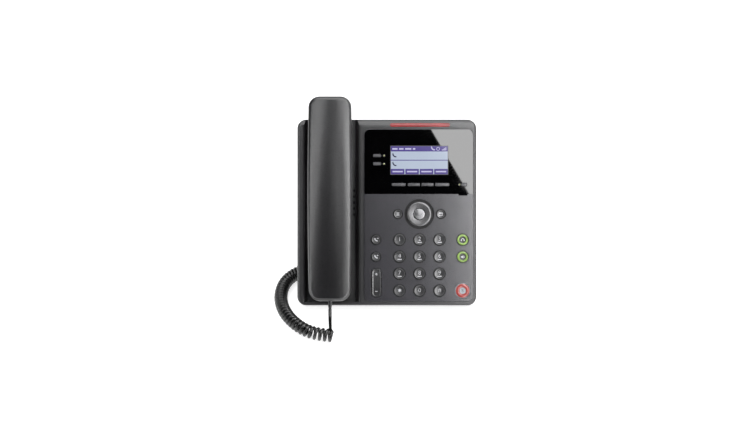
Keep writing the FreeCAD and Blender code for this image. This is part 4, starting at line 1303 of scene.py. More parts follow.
@dataclass
class Studio:
    """Camera, floor, black cloths and lamps, in metres."""

    frame_width: float = 0.75
    camera_far: float = 6.0
    camera_end: float = 50.0
    sensor: float = 36.0
    aim: Place = (-0.0118, -0.0087, 0.0765)
    floor_half: float = 6.0
    floor_tone: Colour = (0.8, 0.8, 0.8)
    floor_glow: float = 0.78
    world_fill: float = 0.25
    flag_far: float = 0.9
    flag_half: float = 1.5
    glare_far: float = 0.85
    glare_edge: tuple[Point2, Point2] = ((0.0558, 0.0905), (0.0945, 0.0247))
    glare_size: Point2 = (0.13, 0.3)
    glare_shine: float = 2.7
    strip_at: Place = (0.138, 0.0, 0.2)
    strip_size: Point2 = (0.06, 0.9)
    strip_shine: float = 8.0
    boxes: tuple[tuple[str, Place, Point2, float], ...] = (
        ("right_box", (0.26, 0.0, 0.3), (0.036, 0.9), 8.5),
        ("left_box", (-0.26, 0.0, 0.3), (0.036, 0.9), 5.5),
        ("left_low_box", (-0.4, 0.0, 0.28), (0.05, 0.9), 7.0),
        ("top_box", (0.0, 0.5, 0.45), (1.0, 0.16), 3.2),
        ("top_low_box", (0.0, 0.5, 0.2), (1.0, 0.16), 3.0),
    )

    def facing(self, u: float, v: float, w: float) -> Matrix:
        """Matrix of something that looks back at the face from a place measured from the aim."""
        return Matrix.Translation(Vector(self.aim)) @ FACE.placing(u, v, w)

    def camera(self) -> None:
        """Looks squarely at the face through a long lens."""
        data = bpy.data.cameras.new("camera")
        data.sensor_width = self.sensor
        data.sensor_fit = "HORIZONTAL"
        data.lens = self.sensor * self.camera_far / self.frame_width
        data.clip_end = self.camera_end
        camera = link_object("camera", data)
        camera.matrix_world = self.facing(0.0, 0.0, self.camera_far)
        bpy.context.scene.camera = camera

    def stage(self, name: str, half: float, placing: Matrix, surface: Surface) -> bpy.types.Object:
        """Puts a square sheet into the studio.

        Args:
            name: Its name.
            half: Half of its side.
            placing: Its place and turn.
            surface: Its material.

        Returns:
            The sheet.
        """
        shape = bmesh.new()
        bmesh.ops.create_grid(shape, x_segments=2, y_segments=2, size=half, matrix=placing)
        mesh = bpy.data.meshes.new(name)
        shape.to_mesh(mesh)
        shape.free()
        mesh.materials.append(surface.material)
        sheet = link_object(name, mesh)
        sheet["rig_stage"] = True
        return sheet

    def floor(self) -> None:
        """Lays a pale floor that is white to the eye and still takes the shadow."""
        surface = Surface("floor_paper")
        surface.set(Base_Color=(*self.floor_tone, 1.0), Roughness=0.9, Specular_IOR_Level=0.1)
        glow = surface.node("ShaderNodeEmission")
        both = surface.node("ShaderNodeAddShader")
        strength = surface.node("ShaderNodeMath", {1: self.floor_glow}, operation="MULTIPLY")
        surface.link(surface.seen_rays(), strength.inputs[0])
        surface.link(strength.outputs[0], glow.inputs["Strength"])
        surface.link(surface.shader.outputs["BSDF"], both.inputs[0])
        surface.link(glow.outputs["Emission"], both.inputs[1])
        surface.link(both.outputs["Shader"], surface.output.inputs["Surface"])
        self.stage("floor", self.floor_half, Matrix.Identity(4), surface)

    def flags(self) -> None:
        """Hangs black cloths before the face and at its left, seen only in gloss."""
        surface = Surface("flag_cloth")
        surface.set(Base_Color=(0.0, 0.0, 0.0, 1.0), Roughness=1.0, Specular_IOR_Level=0.0)
        side = Matrix.Translation((-self.flag_far, 0.0, 0.0)) @ Matrix.Rotation(math.pi / 2.0, 4, "Y")
        for name, placing in (("front_flag", self.facing(0.0, 0.0, self.flag_far)), ("side_flag", side)):
            flag = self.stage(name, self.flag_half, placing, surface)
            flag.visible_camera = False
            flag.visible_diffuse = False
            flag.visible_shadow = False

    def world(self) -> None:
        """Soft light from all round, white where the eye or a gloss sees it."""
        world = bpy.data.worlds.new("studio")
        world.use_nodes = True
        work = NodeWork(world.node_tree)
        background = work.tree.nodes["Background"]
        background.inputs["Color"].default_value = (1.0, 1.0, 1.0, 1.0)
        strength = work.node("ShaderNodeMapRange", {"To Min": self.world_fill, "To Max": 1.0})
        work.link(work.seen_rays(), strength.inputs["Value"])
        work.link(strength.outputs["Result"], background.inputs["Strength"])
        bpy.context.scene.world = world

    def lamp(self, name: str, size: Point2, shine: float, placing: Matrix, fills: bool = True) -> None:
        """Hangs a soft box.

        Args:
            name: Its name.
            size: Width and height.
            shine: How bright its face is, where 1 is white.
            placing: Its place and turn; it shines along its own -Z.
            fills: Whether it lights matt surfaces too, or shows in gloss alone.
        """
        data = bpy.data.lights.new(name, "AREA")
        data.shape = "RECTANGLE"
        data.size, data.size_y = size
        data.energy = shine * math.pi * size[0] * size[1]
        hung = link_object(name, data)
        hung.matrix_world = placing
        hung.visible_camera = False
        hung.visible_diffuse = fills

    def aimed(self, place: Place) -> Matrix:
        """Matrix of a lamp that looks at the aim.

        Args:
            place: Its middle in the frame of the face, measured from the aim.

        Returns:
            The matrix.
        """
        aim = Vector(self.aim)
        there = aim + FACE.point(*place)
        return Matrix.Translation(there) @ (there - aim).to_track_quat("Z", "Y").to_matrix().to_4x4()

    def glare(self) -> None:
        """Hangs the slanted box that the lens mirrors on its right."""
        stretch = 1.0 + self.glare_far / self.camera_far
        head, foot = (Vector(end) * stretch for end in self.glare_edge)
        along = (head - foot).normalized()
        across = Vector((along.y, -along.x))
        middle = (head + foot) / 2.0 + across * (self.glare_size[0] / 2.0)
        roll = math.atan2(across.y, across.x)
        placing = self.facing(middle.x, middle.y, self.glare_far) @ Matrix.Rotation(roll, 4, "Z")
        self.lamp("glare_box", self.glare_size, self.glare_shine, placing)

    def build(self) -> None:
        """Sets up the whole studio."""
        bpy.context.scene.view_settings.view_transform = "Standard"
        self.camera()
        self.floor()
        self.flags()
        self.world()
        self.glare()
        self.lamp("near_strip", self.strip_size, self.strip_shine, self.facing(*self.strip_at), fills=False)
        for name, place, size, shine in self.boxes:
            self.lamp(name, size, shine, self.aimed(place))


@dataclass
class Console:
    """Housings, panel, lens, lights, stand and what is inside, in metres."""

    light_r: float = 0.00075
    light_reach: float = 0.004
    light_t: float = 0.001
    dome: tuple[Point2, ...] = ((0.0, 0.0), (0.7, 0.00004), (1.0, 0.0002))
    collar_drop: Point2 = (0.00015, 0.00005)
    skins: tuple[tuple[str, Finish, float, str], ...] = (
        ("front_housing", Finish.HOUSING, 0.0, "housing_plastic"),
        ("rear_housing", Finish.HOUSING, 0.0, "housing_plastic"),
        ("face_panel", Finish.PANEL, 0.0, "panel_plastic"),
        ("display_lens", Finish.LENS, 0.0, "lens_gloss"),
        ("message_light", Finish.RED_LIGHT, 0.0, "red_light"),
        ("desk_stand", Finish.STAND, 0.0006, "housing_plastic"),
        ("rubber_feet", Finish.RUBBER, 0.0004, "foot_rubber"),
        ("network_jacks", Finish.INNER_AND_GAP_SHADE, 0.0, "inner_plastic"),
        ("cord_jacks", Finish.INNER_AND_GAP_SHADE, 0.0, "inner_plastic"),
        ("hanger_tab", Finish.HOUSING, 0.0002, "inner_plastic"),
        ("hook_plunger", Finish.INNER_AND_GAP_SHADE, 0.0003, "inner_plastic"),
    )
    hidden: tuple[tuple[str, Finish], ...] = (
        ("lcd_module", Finish.INNER_AND_GAP_SHADE),
        ("main_board", Finish.BOARD),
        ("keymat", Finish.SILICONE),
        ("loudspeaker", Finish.CONE),
        ("nav_pivot", Finish.INNER_AND_GAP_SHADE),
        ("receiver_capsule", Finish.CAPSULE),
        ("handset_microphone", Finish.CAPSULE),
    )

    def light_spots(self) -> list[FlatBox]:
        """Finds the lights in the one node that holds them all.

        Returns:
            The extent of each.
        """
        spots: list[FlatBox] = []
        for vertex in frame["nodes"]["indicator_lights"].data.vertices:
            place = FACE.flat(vertex.co)
            if all((spot.low - place).xy.length > self.light_reach for spot in spots):
                spots.append(FlatBox(place, place))
            index = next(i for i, s in enumerate(spots) if (s.low - place).xy.length <= self.light_reach)
            low, high = (map(min, spots[index].low, place), map(max, spots[index].high, place))
            spots[index] = FlatBox(Vector(low), Vector(high))
        return spots

    def indicators(self) -> None:
        """Makes the small lights of the lens, each a lit dome in a dark collar."""
        node = "indicator_lights"
        box, inner = FACE.box(node), self.light_r
        top, foot = box.top, box.low.z
        dome = [(share * inner, top - drop) for share, drop in self.dome]
        dome += [(inner, top - self.light_t), (0.0, top - self.light_t)]
        work = FaceWork((0.0, 0.0), top)
        for spot in self.light_spots():
            work.origin, outer = spot.middle, spot.width / 2.0
            work.turned(dome, False)
            rim = [(inner, foot), (outer, foot)]
            rim += [(reach, top - drop) for reach, drop in zip((outer, inner), self.collar_drop[::-1])]
            work.turned(rim, True, 1)
        work.build("indicator_domes", (Finish.LAMP, Finish.INNER_AND_GAP_SHADE), "lamp", node)

    def build(self) -> None:
        """Dresses every piece of the console."""
        self.indicators()
        for skin in self.skins:
            SKINS.make(*skin)
        for node, finish in self.hidden:
            dress(frame["nodes"][node].data, finish)
            LOG.info("%s keeps its packed shape", node)


@dataclass
class Handset:
    """Shells of the handset and the socket in its foot."""

    skins: tuple[tuple[str, Finish, float, str], ...] = (
        ("handset_outer_shell", Finish.HANDSET, 0.0, "handset_plastic"),
        ("handset_inner_shell", Finish.HANDSET, 0.0, "handset_plastic"),
        ("handset_jack", Finish.INNER_AND_GAP_SHADE, 0.0, "inner_plastic"),
    )

    def build(self) -> None:
        """Dresses the shells."""
        for skin in self.skins:
            SKINS.make(*skin)


@dataclass
class Display:
    """Picture of the display: two call lines between a header and four soft key labels, in metres."""

    border: float = 0.004
    layer: float = 0.00006
    frame_edge: float = 0.0006
    header: float = 0.0052
    labels: float = 0.0053
    label_count: int = 4
    label_gap: float = 0.0009
    label_bar: tuple[float, float, float] = (0.0016, 0.0019, 0.0033)
    divider: float = 0.0008
    call_mark: Point2 = (0.003, 0.0054)
    word_start: float = 0.0014
    words: tuple[float, ...] = (0.0052, 0.0044, 0.0062, 0.0024)
    word_gap: float = 0.0016
    word_half: float = 0.0008
    header_call: Point2 = (0.0152, 0.0052)
    circle: tuple[float, float, float] = (0.0096, 0.0015, 0.0005)
    step_start: float = 0.0058
    step_pitch: float = 0.0012
    step_width: float = 0.0007
    step_foot: float = 0.0016
    step_head: float = 0.0006
    step_rise: float = 0.0007
    steps: int = 4
    finishes: tuple[Finish, ...] = (
        Finish.DISPLAY_PALE,
        Finish.DISPLAY_VIOLET,
        Finish.DISPLAY_INK,
        Finish.DISPLAY_LIGHT,
        Finish.DISPLAY_FRAME,
    )

    def build(self) -> None:
        """Lays the picture on the lens over the display module, layer on layer."""
        module, lens = FACE.box("lcd_module"), FACE.box("display_lens")
        half_w = module.width / 2.0 - self.border
        half_h = module.height / 2.0 - self.border
        pale, violet, ink, light, grey = range(len(self.finishes))
        work = FaceWork(module.middle, lens.top, self.layer, grey)
        work.block(-half_w, -half_h, half_w, half_h)
        left, right = -half_w + self.frame_edge, half_w - self.frame_edge
        foot, head = -half_h + self.frame_edge, half_h - self.frame_edge
        self.next_layer(work, pale)
        work.block(left, foot, right, head)
        self.next_layer(work, violet)
        lines_head, lines_foot = head - self.header, foot + self.labels
        middle = (head - self.header + foot + self.labels) / 2.0
        work.block(left, lines_head, right, head)
        work.block(left, middle - self.divider / 2.0, right, middle + self.divider / 2.0)
        pitch = (right - left + self.label_gap) / self.label_count
        starts = [left + index * pitch for index in range(self.label_count)]
        for start in starts:
            work.block(start, foot, start + pitch - self.label_gap, lines_foot)
        work.ink = ink
        inset, size = self.call_mark
        for row in ((middle + head - self.header) / 2.0, (middle + foot + self.labels) / 2.0):
            work.receiver_mark((left + inset, row), size)
        self.next_layer(work, light)
        self.header_marks(work, left, right, head - self.header / 2.0)
        inset, low, high = self.label_bar
        for start in starts:
            work.block(start + inset, foot + low, start + pitch - self.label_gap - inset, foot + high)
        work.build("display_picture", self.finishes, "display", "display_lens", stands_for=False)

    def next_layer(self, work: FaceWork, ink: int) -> None:
        """Lets the marks that follow lie over those before, in another ink."""
        work.thickness += self.layer
        work.ink = ink

    def header_marks(self, work: FaceWork, left: float, right: float, row: float) -> None:
        """Draws the header's generic bars and small signs.

        Args:
            work: The picture.
            left: Left edge of the picture.
            right: Right edge of the picture.
            row: Middle of the header.
        """
        reach = left + self.word_start
        for width in self.words:
            work.block(reach, row - self.word_half, reach + width, row + self.word_half)
            reach += width + self.word_gap
        inset, size = self.header_call
        work.receiver_mark((right - inset, row), size)
        inset, radius, width = self.circle
        work.arc((right - inset, row), radius, (0.0, 360.0), width)
        for index in range(self.steps):
            start = right - self.step_start + index * self.step_pitch
            head = row - self.step_head + index * self.step_rise
            work.block(start, row - self.step_foot, start + self.step_width, head)


@dataclass
class Ports:
    """Gold contacts in the sockets, screws in the back and the plugs on the cord, in metres."""

    pin: Place = (0.00042, 0.0066, 0.0002)
    pin_pitch: float = 0.00105
    pin_inset: float = 0.0008
    pin_drop: float = 0.0036
    pin_lean: float = 0.4
    rows: tuple[tuple[str, float, int, int, float], ...] = (
        ("network_jacks", 0.008, 8, 2, 0.02),
        ("cord_jacks", 0.0055, 4, 1, 0.0),
    )
    head_r: float = 0.0026
    head_t: float = 0.0019
    head_edge: tuple[Point2, ...] = ((0.84, 0.0), (0.95, 0.0002), (1.0, 0.0006))
    shank_r: float = 0.00115
    tip: float = 0.0012
    recess: float = 0.0009
    recess_taper: float = 0.8
    slot: Point2 = (0.0034, 0.0008)
    plugs: tuple[str, ...] = ("base_plug", "handset_plug")
    plug_edge: float = 0.0003

    def contacts(self, node: str, first: float, count: int, sockets: int, step: float) -> None:
        """Sets a row of slanting pins into each socket of a node.

        Args:
            node: The node with the sockets.
            first: Middle of the first socket from the node's left.
            count: Pins in a socket.
            sockets: Sockets that get pins.
            step: Distance from socket to socket.
        """
        box = FACE.box(node)
        width, length, thick = self.pin
        left = box.low.x + first - self.pin_pitch * (count - 1) / 2.0
        top = box.high.z - self.pin_drop
        foot = box.low.y + self.pin_inset
        work = FaceWork((left, foot), lambda u, v: top - self.pin_lean * v, thick, ink=0)
        work.bar((0.0, 0.0), (0.0, length), width)
        name = node + "_contacts"
        rows = ((count, FACE.right * self.pin_pitch), (sockets, FACE.right * step))
        add_piece(name, self.rowed(work.mesh(name), rows, Finish.CONTACT), node, "speaker_metal", False)

    def rowed(
        self, mesh: bpy.types.Mesh, rows: Sequence[tuple[int, Vector]], finish: Finish
    ) -> bpy.types.Mesh:
        """Repeats a shape along one row and the result along the next.

        Args:
            mesh: The shape.
            rows: Count and step of each row.
            finish: The finish of all.

        Returns:
            The mesh of all.
        """
        name = mesh.name
        for count, step in rows:
            carrier = link_object(name, mesh)
            mesh = row_recipe().run(carrier, name, Count=count, Step=step, Material=finish.material())
        return mesh

    def cross(self, turn: float) -> float:
        """Reach of the screws' cross recess.

        Args:
            turn: Angle about the screw's axis.

        Returns:
            The reach from the axis.
        """
        along, across = abs(math.cos(turn)) + 1e-9, abs(math.sin(turn)) + 1e-9
        length, width = self.slot[0] / 2.0, self.slot[1] / 2.0
        return max(min(length / along, width / across), min(length / across, width / along))

    def screws(self) -> None:
        """Turns one screw with a cross recess and repeats it at the four bosses."""
        node = "housing_screws"
        box = FACE.box(node)
        low, high = box.low.z, box.high.z
        floor, neck = low + self.recess, low + self.head_t
        work = FaceWork((box.low.x + self.head_r, box.low.y + self.head_r), low)
        bottom = lambda turn: self.recess_taper * self.cross(turn)
        profile = [(0.0, floor), (bottom, floor), (self.cross, low)]
        profile += [(share * self.head_r, low + rise) for share, rise in self.head_edge]
        profile += [(self.head_r, neck), (self.shank_r, neck), (self.shank_r, high - self.tip), (0.0, high)]
        work.turned(profile, False)
        across, up = box.width - 2.0 * self.head_r, box.height - 2.0 * self.head_r
        name = node + "_skin"
        rows = ((2, FACE.right * across), (2, FACE.up * up))
        add_piece(name, self.rowed(work.mesh(name), rows, Finish.STEEL), node, "screw_steel")

    def build(self) -> None:
        """Makes contacts and screws."""
        for row in self.rows:
            self.contacts(*row)
        self.screws()

    def cord_ends(self) -> list[bpy.types.Object]:
        """The two plugs, dressed."""
        return [SKINS.make(node, Finish.PLUG, self.plug_edge, "plug_plastic") for node in self.plugs]


Stroke = tuple[Point2, Point2, float]
Bow = tuple[Point2, float, Point2, float]


def star_strokes() -> tuple[Stroke, ...]:
    """Crosses three strokes in a star.

    Returns:
        The strokes.
    """
    middle, ends, width = Vector((0.0004, 0.0003)), [], 0.0007
    for turn in map(math.radians, (90.0, 30.0, -30.0)):
        reach = Vector((math.cos(turn), math.sin(turn))) * 0.0017
        ends.append((tuple(middle - reach), tuple(middle + reach), width))
    return tuple(ends)


def arrow_strokes(way: float) -> tuple[Stroke, ...]:
    """The small arrow beside a receiver.

    Args:
        way: 1 where it points right and -1 where it points left.

    Returns:
        Its shaft and its two barbs.
    """
    row, middle, half, width = 0.0014, 0.0017, 0.0009, 0.00045
    barb_length, barb_rise = 0.0008, 0.0007
    tip = middle + half * way
    shaft = ((middle - half, row), (middle + half, row), width)
    barbs = [((tip, row), (tip - barb_length * way, row + barb_rise * side), width) for side in (-1.0, 1.0)]
    return (shaft, *barbs)


def letter_strokes() -> tuple[Stroke, ...]:
    """Draws the outline of an envelope and its flap.

    Returns:
        The strokes.
    """
    a, b, width = 0.0018, 0.0013, 0.0004
    corners = ((-a, -b), (a, -b), (a, b), (-a, b))
    sides = [(start, end, width) for start, end in zip(corners, corners[1:] + corners[:1])]
    return (*sides, ((-a, b), (0.0, 0.0), width), ((a, b), (0.0, 0.0), width))


@dataclass(frozen=True)
class Sign:
    """Sign printed on a key, in metres from the key's middle.

    A stroke has two ends and a width, a bow has a centre, a radius, two angles and a width.
    """

    strokes: tuple[Stroke, ...] = ()
    bows: tuple[Bow, ...] = ()
    shapes: tuple[tuple[Point2, ...], ...] = ()
    receiver: tuple[Point2, float] | None = None

    def draw(self, work: FaceWork) -> None:
        """Draws the sign on a piece.

        Args:
            work: The piece.
        """
        if self.receiver:
            work.receiver_mark(*self.receiver)
        for draw, parts in ((work.arc, self.bows), (work.bar, self.strokes)):
            for part in parts:
                draw(*part)
        for shape in self.shapes:
            work.prism(shape)


class KeySign(Enum):
    """Signs of the keys that carry no figure."""

    STAR = Sign(star_strokes())
    HOLD = Sign(arrow_strokes(1.0), receiver=((-0.0002, -0.0003), 0.0046))
    TRANSFER = Sign(arrow_strokes(-1.0), receiver=((-0.0002, -0.0003), 0.0046))
    MENU = Sign(tuple(((-0.0015, row), (0.0015, row), 0.0005) for row in (-0.0012, 0.0, 0.0012)))
    MESSAGES = Sign(letter_strokes())
    HEADSET = Sign(
        tuple(((side, -0.0012), (side, 0.0), 0.0008) for side in (-0.0014, 0.0014)),
        (((0.0, -0.0002), 0.0014, (0.0, 180.0), 0.0005),),
    )
    SPEAKER = Sign(
        bows=tuple(((-0.0002, 0.0), radius, (-50.0, 50.0), 0.0004) for radius in (0.0010, 0.0018)),
        shapes=(
            ((-0.0016, -0.0006), (-0.0009, -0.0006), (-0.0009, 0.0006), (-0.0016, 0.0006)),
            ((-0.0008, -0.0006), (0.0001, -0.0014), (0.0001, 0.0014), (-0.0008, 0.0006)),
        ),
    )
    MUTE = Sign(
        (
            ((0.0, -0.0001), (0.0, 0.0014), 0.0011),
            ((0.0, -0.0011), (0.0, -0.0018), 0.0004),
            ((-0.0016, 0.0016), (0.0016, -0.0016), 0.0004),
        ),
        (((0.0, 0.0), 0.0011, (195.0, 345.0), 0.0004),),
    )
    VOLUME = Sign(
        (
            ((-0.0011, 0.0086), (0.0011, 0.0086), 0.0006),
            ((-0.0011, -0.0086), (0.0011, -0.0086), 0.0006),
            ((0.0, 0.0075), (0.0, 0.0097), 0.0006),
        )
    )


@dataclass
class KeyFoot:
    """Lower part of a round key: wall, lip under the panel and hollow, in metres."""

    lip_reach: float = 0.00135
    lip_t: float = 0.001
    wall: float = 0.0015

    def skirt(self, radius: float, low: float, roof: float) -> list[Corner]:
        """Profile of the lower part.

        Args:
            radius: Radius of the cap.
            low: Level of the lip's underside.
            roof: Level of the hollow's roof.

        Returns:
            The corners.
        """
        lip, hollow, ledge = radius + self.lip_reach, radius - self.wall, low + self.lip_t
        corners = [(radius, ledge), (lip, ledge), (lip, low), (hollow, low), (hollow, roof), (0.0, roof)]
        return [(r, w, 0.0) for r, w in corners]


@dataclass
class RoundKeys(KeyFoot):
    """Dished round keys: the dial, two call keys and the two keys beside the ring, in metres."""

    roof: float = 0.0017
    crest: float = 0.87
    dish: float = 0.0006
    dish_steps: int = 8
    edge: float = 0.0004
    rim_drop: float = 0.0011
    rim_lap: float = 0.0003
    rim_t: float = 0.0004
    figure: float = 0.0042
    figure_at: Point2 = (0.0003, 0.0005)
    lettered: str = "23456789"
    lettered_at: Point2 = (0.0003, 0.0011)
    letter_line: tuple[float, float, float, float] = (-0.0018, -0.00285, 0.0024, -0.0022)
    figures: tuple[tuple[str, str], ...] = (*((f"key_{n}", n) for n in "1234567890"), ("key_hash", "#"))
    signs: tuple[tuple[str, KeySign], ...] = (
        ("key_star", KeySign.STAR),
        ("hold_key", KeySign.HOLD),
        ("transfer_key", KeySign.TRANSFER),
        ("menu_key", KeySign.MENU),
        ("messages_key", KeySign.MESSAGES),
    )
    finishes: tuple[Finish, ...] = (Finish.KEY, Finish.INK, Finish.INNER_AND_GAP_SHADE)

    def cap(self, node: str) -> FaceWork:
        """Turns a dished cap and the rim round it with its lip; the rim is dark with painted shade of the gap
        round the key.

        Args:
            node: The key's node.

        Returns:
            The work, with its marks' level in the dish.
        """
        box = FACE.box(node)
        top = box.top
        radius = box.width / 2.0 - self.lip_reach
        crest, roof = self.crest * radius, top - self.roof
        work = FaceWork(box.middle, lambda u, v: top - self.dish * (1.0 - (u * u + v * v) / crest ** 2))
        shares = [step / self.dish_steps for step in range(self.dish_steps)]
        profile = [(crest * share, top - self.dish * (1.0 - share * share), 0.0) for share in shares]
        profile += [(crest, top, self.edge), (crest, roof, 0.0), (0.0, roof, 0.0)]
        work.turned(profile, False)
        # The rim takes the dark inner finish: painted shade of the gap round the key.
        rim_top = top - self.rim_drop
        rim = [(crest - self.rim_lap, top - self.rim_drop / 2.0, 0.0), (radius, rim_top, self.edge)]
        rim += self.skirt(radius, box.low.z, roof + self.rim_t)[:-1]
        work.turned(rim, True, self.finishes.index(Finish.INNER_AND_GAP_SHADE))
        return work

    def build(self) -> None:
        """Makes the keys with their figures, letter lines and signs."""
        for node, text in self.figures:
            work = self.cap(node)
            lettered = text in self.lettered
            work.glyph(text, self.lettered_at if lettered else self.figure_at, self.figure)
            if lettered:
                work.block(*self.letter_line)
            work.build(node + "_cap", self.finishes, "key_plastic", node)
        for node, sign in self.signs:
            work = self.cap(node)
            sign.value.draw(work)
            work.build(node + "_cap", self.finishes, "key_plastic", node)


@dataclass
class LitKeys(KeyFoot):
    """Headset, speaker and mute keys, each with a light ring in a groove, in metres."""

    roof: float = 0.0031
    shoulder: float = 0.0005
    band_crest: Point2 = (0.0001, 0.0008)
    band_edge: float = 0.0005
    band_fall: float = 0.0002
    core_r: float = 0.0033
    core_drop: float = 0.0007
    core_flat: float = 0.7
    core_rise: float = 0.0003
    core_edge: float = 0.0002
    gap: float = 0.00006
    groove_edge: Point2 = (0.0003, 0.0001)
    rim_edge: Point2 = (0.0005, 0.0002)
    keys: tuple[tuple[str, KeySign, Finish, str, Finish, Finish], ...] = (
        ("headset_key", KeySign.HEADSET, Finish.GREEN_LIGHT, "green_light", Finish.LIT_CORE, Finish.INK),
        ("speaker_key", KeySign.SPEAKER, Finish.GREEN_LIGHT, "green_light", Finish.LIT_CORE, Finish.INK),
        ("mute_key", KeySign.MUTE, Finish.RED_RING, "red_light", Finish.PALE_CORE, Finish.MARK),
    )

    def light_ring(self, node: str, light: Finish, slot: str) -> None:
        """Makes the ring that lies in a key's groove.

        Args:
            node: The key's node.
            light: Finish of the ring.
            slot: The record's slot of the ring.
        """
        box, ring = FACE.box(node), FACE.box(node + "_ring")
        floor, top, outer = ring.low.z, box.top, ring.width / 2.0
        shoulder, (drop, rounding) = top - self.shoulder, self.band_crest
        band = [(self.core_r, floor, 0.0), (outer, floor, 0.0)]
        band += [(outer, shoulder - self.band_fall, self.band_edge)]
        band += [((self.core_r + outer) / 2.0, top - drop, rounding), (self.core_r, shoulder, self.band_edge)]
        work = FaceWork(box.middle, top)
        work.turned(band, True)
        work.build(node + "_ring_glow", (light,), slot, node + "_ring")

    def cap(self, node: str) -> FaceWork:
        """Turns a key with a sunk core and a groove round it.

        Args:
            node: The key's node.

        Returns:
            The work, with its marks' level on the core.
        """
        box, ring = FACE.box(node), FACE.box(node + "_ring")
        radius, top = box.width / 2.0 - self.lip_reach, box.top
        floor, inner, outer = ring.low.z - self.gap, self.core_r - self.gap, ring.width / 2.0 + self.gap
        core, shoulder = top - self.core_drop, top - self.shoulder
        profile = [(0.0, core, 0.0), (self.core_flat * self.core_r, core, self.core_rise)]
        profile += [(inner, core + self.core_rise, self.core_edge), (inner, floor, 0.0), (outer, floor, 0.0)]
        for reach, (drop, rounding) in ((outer, self.groove_edge), (radius, self.rim_edge)):
            profile.append((reach, shoulder - drop, rounding))
        profile += self.skirt(radius, box.low.z, top - self.roof)
        work = FaceWork(box.middle, core)
        work.turned(profile, False)
        return work

    def build(self) -> None:
        """Makes the three keys and their rings."""
        for node, sign, light, slot, core, ink in self.keys:
            self.light_ring(node, light, slot)
            work = self.cap(node)
            sign.value.draw(work)
            work.build(node + "_cap", (core, ink), "key_plastic", node)


@dataclass
class BarKeys:
    """Small bars in the lens, with rounded edges, a dark bed and a lip under it, in metres."""

    nodes: tuple[str, ...] = (
        "softkey_1", "softkey_2", "softkey_3", "softkey_4", "line_key_1", "line_key_2", "back_key"
    )
    side_gap: float = 0.0006
    bar_height: float = 0.0024
    bar_corner: float = 0.0006
    bar_layers: tuple[Point2, ...] = (
        (0.0, 0.001), (0.0, 0.0003), (0.00005, 0.00015), (0.00015, 0.00005), (0.0003, 0.0)
    )
    bed_height: float = 0.0032
    bed_corner: float = 0.0008
    bed_drop: float = 0.0006
    bed_lap: float = 0.0002
    lip_t: float = 0.0005
    lip_corner: float = 0.0003

    def build(self) -> None:
        """Makes the seven bars."""
        for node in self.nodes:
            box = FACE.box(node)
            top, low, lip = box.top, box.low.z, box.low.z + self.lip_t
            work = FaceWork(box.middle, top)
            layers = [(inset, top - drop) for inset, drop in self.bar_layers]
            work.pillar((box.width - self.side_gap, self.bar_height), self.bar_corner, layers)
            bed = [(0.0, lip - self.bed_lap), (0.0, top - self.bed_drop)]
            work.pillar((box.width, self.bed_height), self.bed_corner, bed, material=1)
            work.pillar((box.width, box.height), self.lip_corner, [(0.0, low), (0.0, lip)], material=1)
            work.build(node + "_cap", (Finish.BAR_KEY, Finish.INNER_AND_GAP_SHADE), "bar_key_plastic", node)


@dataclass
class VolumeRocker:
    """Rocker with a dished top, a straight stem and a lip, in metres."""

    size: Point2 = (0.0095, 0.0285)
    corner_gap: float = 0.0001
    crown_r: float = 0.06
    dish: float = 0.00045
    foot_drop: float = 0.0011
    stem_inset: float = 0.0001
    stem_drop: float = 0.0027
    stem_lap: float = 0.0002
    layers: tuple[Point2, ...] = (
        (0.0, 0.0007), (0.0001, 0.0003), (0.0003, 0.00008), (0.0006, 0.0), (0.0009, 0.00006),
        (0.0014, 0.0003), (0.0019, 0.00043), (0.0024, 0.00045), (0.0032, 0.00045), (0.004, 0.00045),
        (0.0044, 0.00045),
    )
    lip_height: float = 0.0095
    lip_corner: float = 0.0004
    lip_t: float = 0.001

    def crown(self, v: float) -> float:
        """Fall of the top at a place along the rocker."""
        return v * v / (2.0 * self.crown_r)

    def build(self) -> None:
        """Makes the rocker with its two signs."""
        node = "volume_rocker"
        box, panel = FACE.box(node), FACE.box("face_panel").top
        top, low, radius = box.top, box.low.z, self.size[0] / 2.0 - self.corner_gap
        work = FaceWork(box.middle, lambda u, v: top - self.dish - self.crown(v))
        foot = panel - self.foot_drop
        stem = [(self.stem_inset, panel - self.stem_drop), (self.stem_inset, foot + self.stem_lap)]
        work.pillar(self.size, radius, stem)
        layers = [(0.0, foot)] + [(inset, top - drop) for inset, drop in self.layers]
        work.pillar(self.size, radius, layers, self.crown)
        work.pillar((box.width, self.lip_height), self.lip_corner, [(0.0, low), (0.0, low + self.lip_t)])
        KeySign.VOLUME.value.draw(work)
        work.build(node + "_cap", (Finish.KEY, Finish.INK), "key_plastic", node)


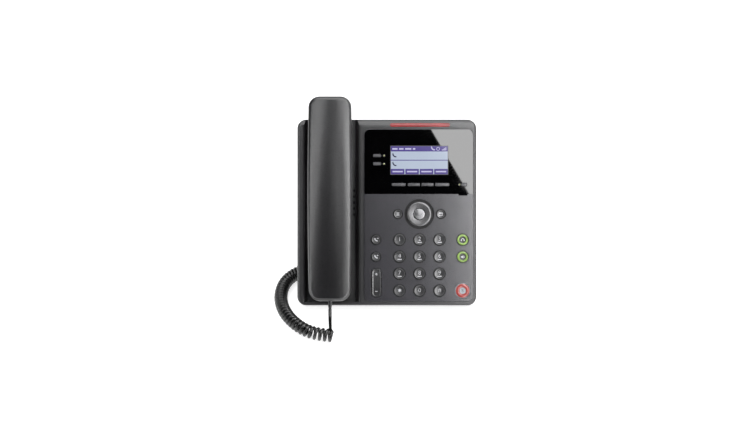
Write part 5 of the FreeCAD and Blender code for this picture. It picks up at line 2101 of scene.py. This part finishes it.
@dataclass
class NavigationRing:
    """Four-way ring and the turned key in its middle, in metres."""

    bore: float = 0.0061
    lip_reach: float = 0.0024
    lip_t: float = 0.001
    face_step: float = 0.0008
    face_t: float = 0.0055
    bore_edge: Point2 = (0.0006, 0.0003)
    crest: float = 0.93
    crest_edge: Point2 = (0.0001, 0.0009)
    outer_edge: Point2 = (0.0009, 0.0005)
    step_lap: float = 0.0004
    step_drop: float = 0.002
    skirt: float = 0.002
    ok_dome: float = 0.0003
    ok_steps: int = 8
    ok_t: float = 0.0042
    ok_stem: float = 0.0036
    ok_tone: Colour = (0.36, 0.36, 0.37)

    def ring(self) -> None:
        """Makes the satin ring on its dark step."""
        node = "nav_ring"
        box = FACE.box(node)
        top, low, lip = box.top, box.low.z, box.width / 2.0
        radius, ledge = lip - self.lip_reach, low + self.lip_t
        face, foot = radius - self.face_step, top - self.face_t
        profile = [(self.bore, foot, 0.0)]
        edges = (self.bore, self.bore_edge), (self.crest * face, self.crest_edge), (face, self.outer_edge)
        profile += [(reach, top - drop, rounding) for reach, (drop, rounding) in edges]
        work = FaceWork(box.middle, top)
        work.turned(profile + [(face, foot, 0.0)], True)
        step, head = face - self.step_lap, top - self.step_drop
        work.turned([(step, head), (radius, head), (radius, ledge), (step, ledge)], True, 1)
        inner = radius - self.skirt
        work.turned([(inner, low), (lip, low), (lip, ledge), (inner, ledge)], True, 1)
        work.build(node + "_cap", (Finish.RING, Finish.INNER_AND_GAP_SHADE), "nav_satin", node)

    def ok_key(self) -> None:
        """Makes the domed key, with its turning marks about its own middle."""
        node = "nav_ok"
        box = FACE.box(node)
        top, low, radius = box.top, box.low.z, box.width / 2.0
        shares = [step / self.ok_steps for step in range(self.ok_steps)]
        profile = [(radius * share, top - self.ok_dome * share ** 2, 0.0) for share in shares]
        profile += [(radius, top - self.ok_dome, self.ok_dome), (radius, top - self.ok_t, 0.0)]
        profile += [(self.ok_stem, top - self.ok_t, 0.0), (self.ok_stem, low, 0.0), (0.0, low, 0.0)]
        work = FaceWork(box.middle, top)
        work.turned(profile, False)
        mesh = work.mesh(node + "_cap")
        spun = SpunMetal("nav_spun", self.ok_tone, tuple(FACE.point(*box.middle, top)))
        mesh.materials.append(spun.build())
        add_piece(node + "_cap", mesh, node, "nav_spun")

    def build(self) -> None:
        """Makes the ring and the key."""
        self.ring()
        self.ok_key()


def main() -> None:
    """Builds the studio and every piece of the telephone."""
    logging.basicConfig(level=logging.INFO, format="%(name)s: %(message)s")
    Studio().build()
    ports = Ports()
    HandsetCord().build(ports.cord_ends())
    keys = (RoundKeys(), LitKeys(), BarKeys(), VolumeRocker(), NavigationRing())
    for assembly in (Console(), Handset(), Display(), ports, *keys):
        assembly.build()
    for name, corners in (("cad", CAD_BOX), ("visual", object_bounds())):
        LOG.info("%s box %s", name, [tuple(round(x, 4) for x in corner) for corner in corners])


if __name__ == "__main__":
    main()
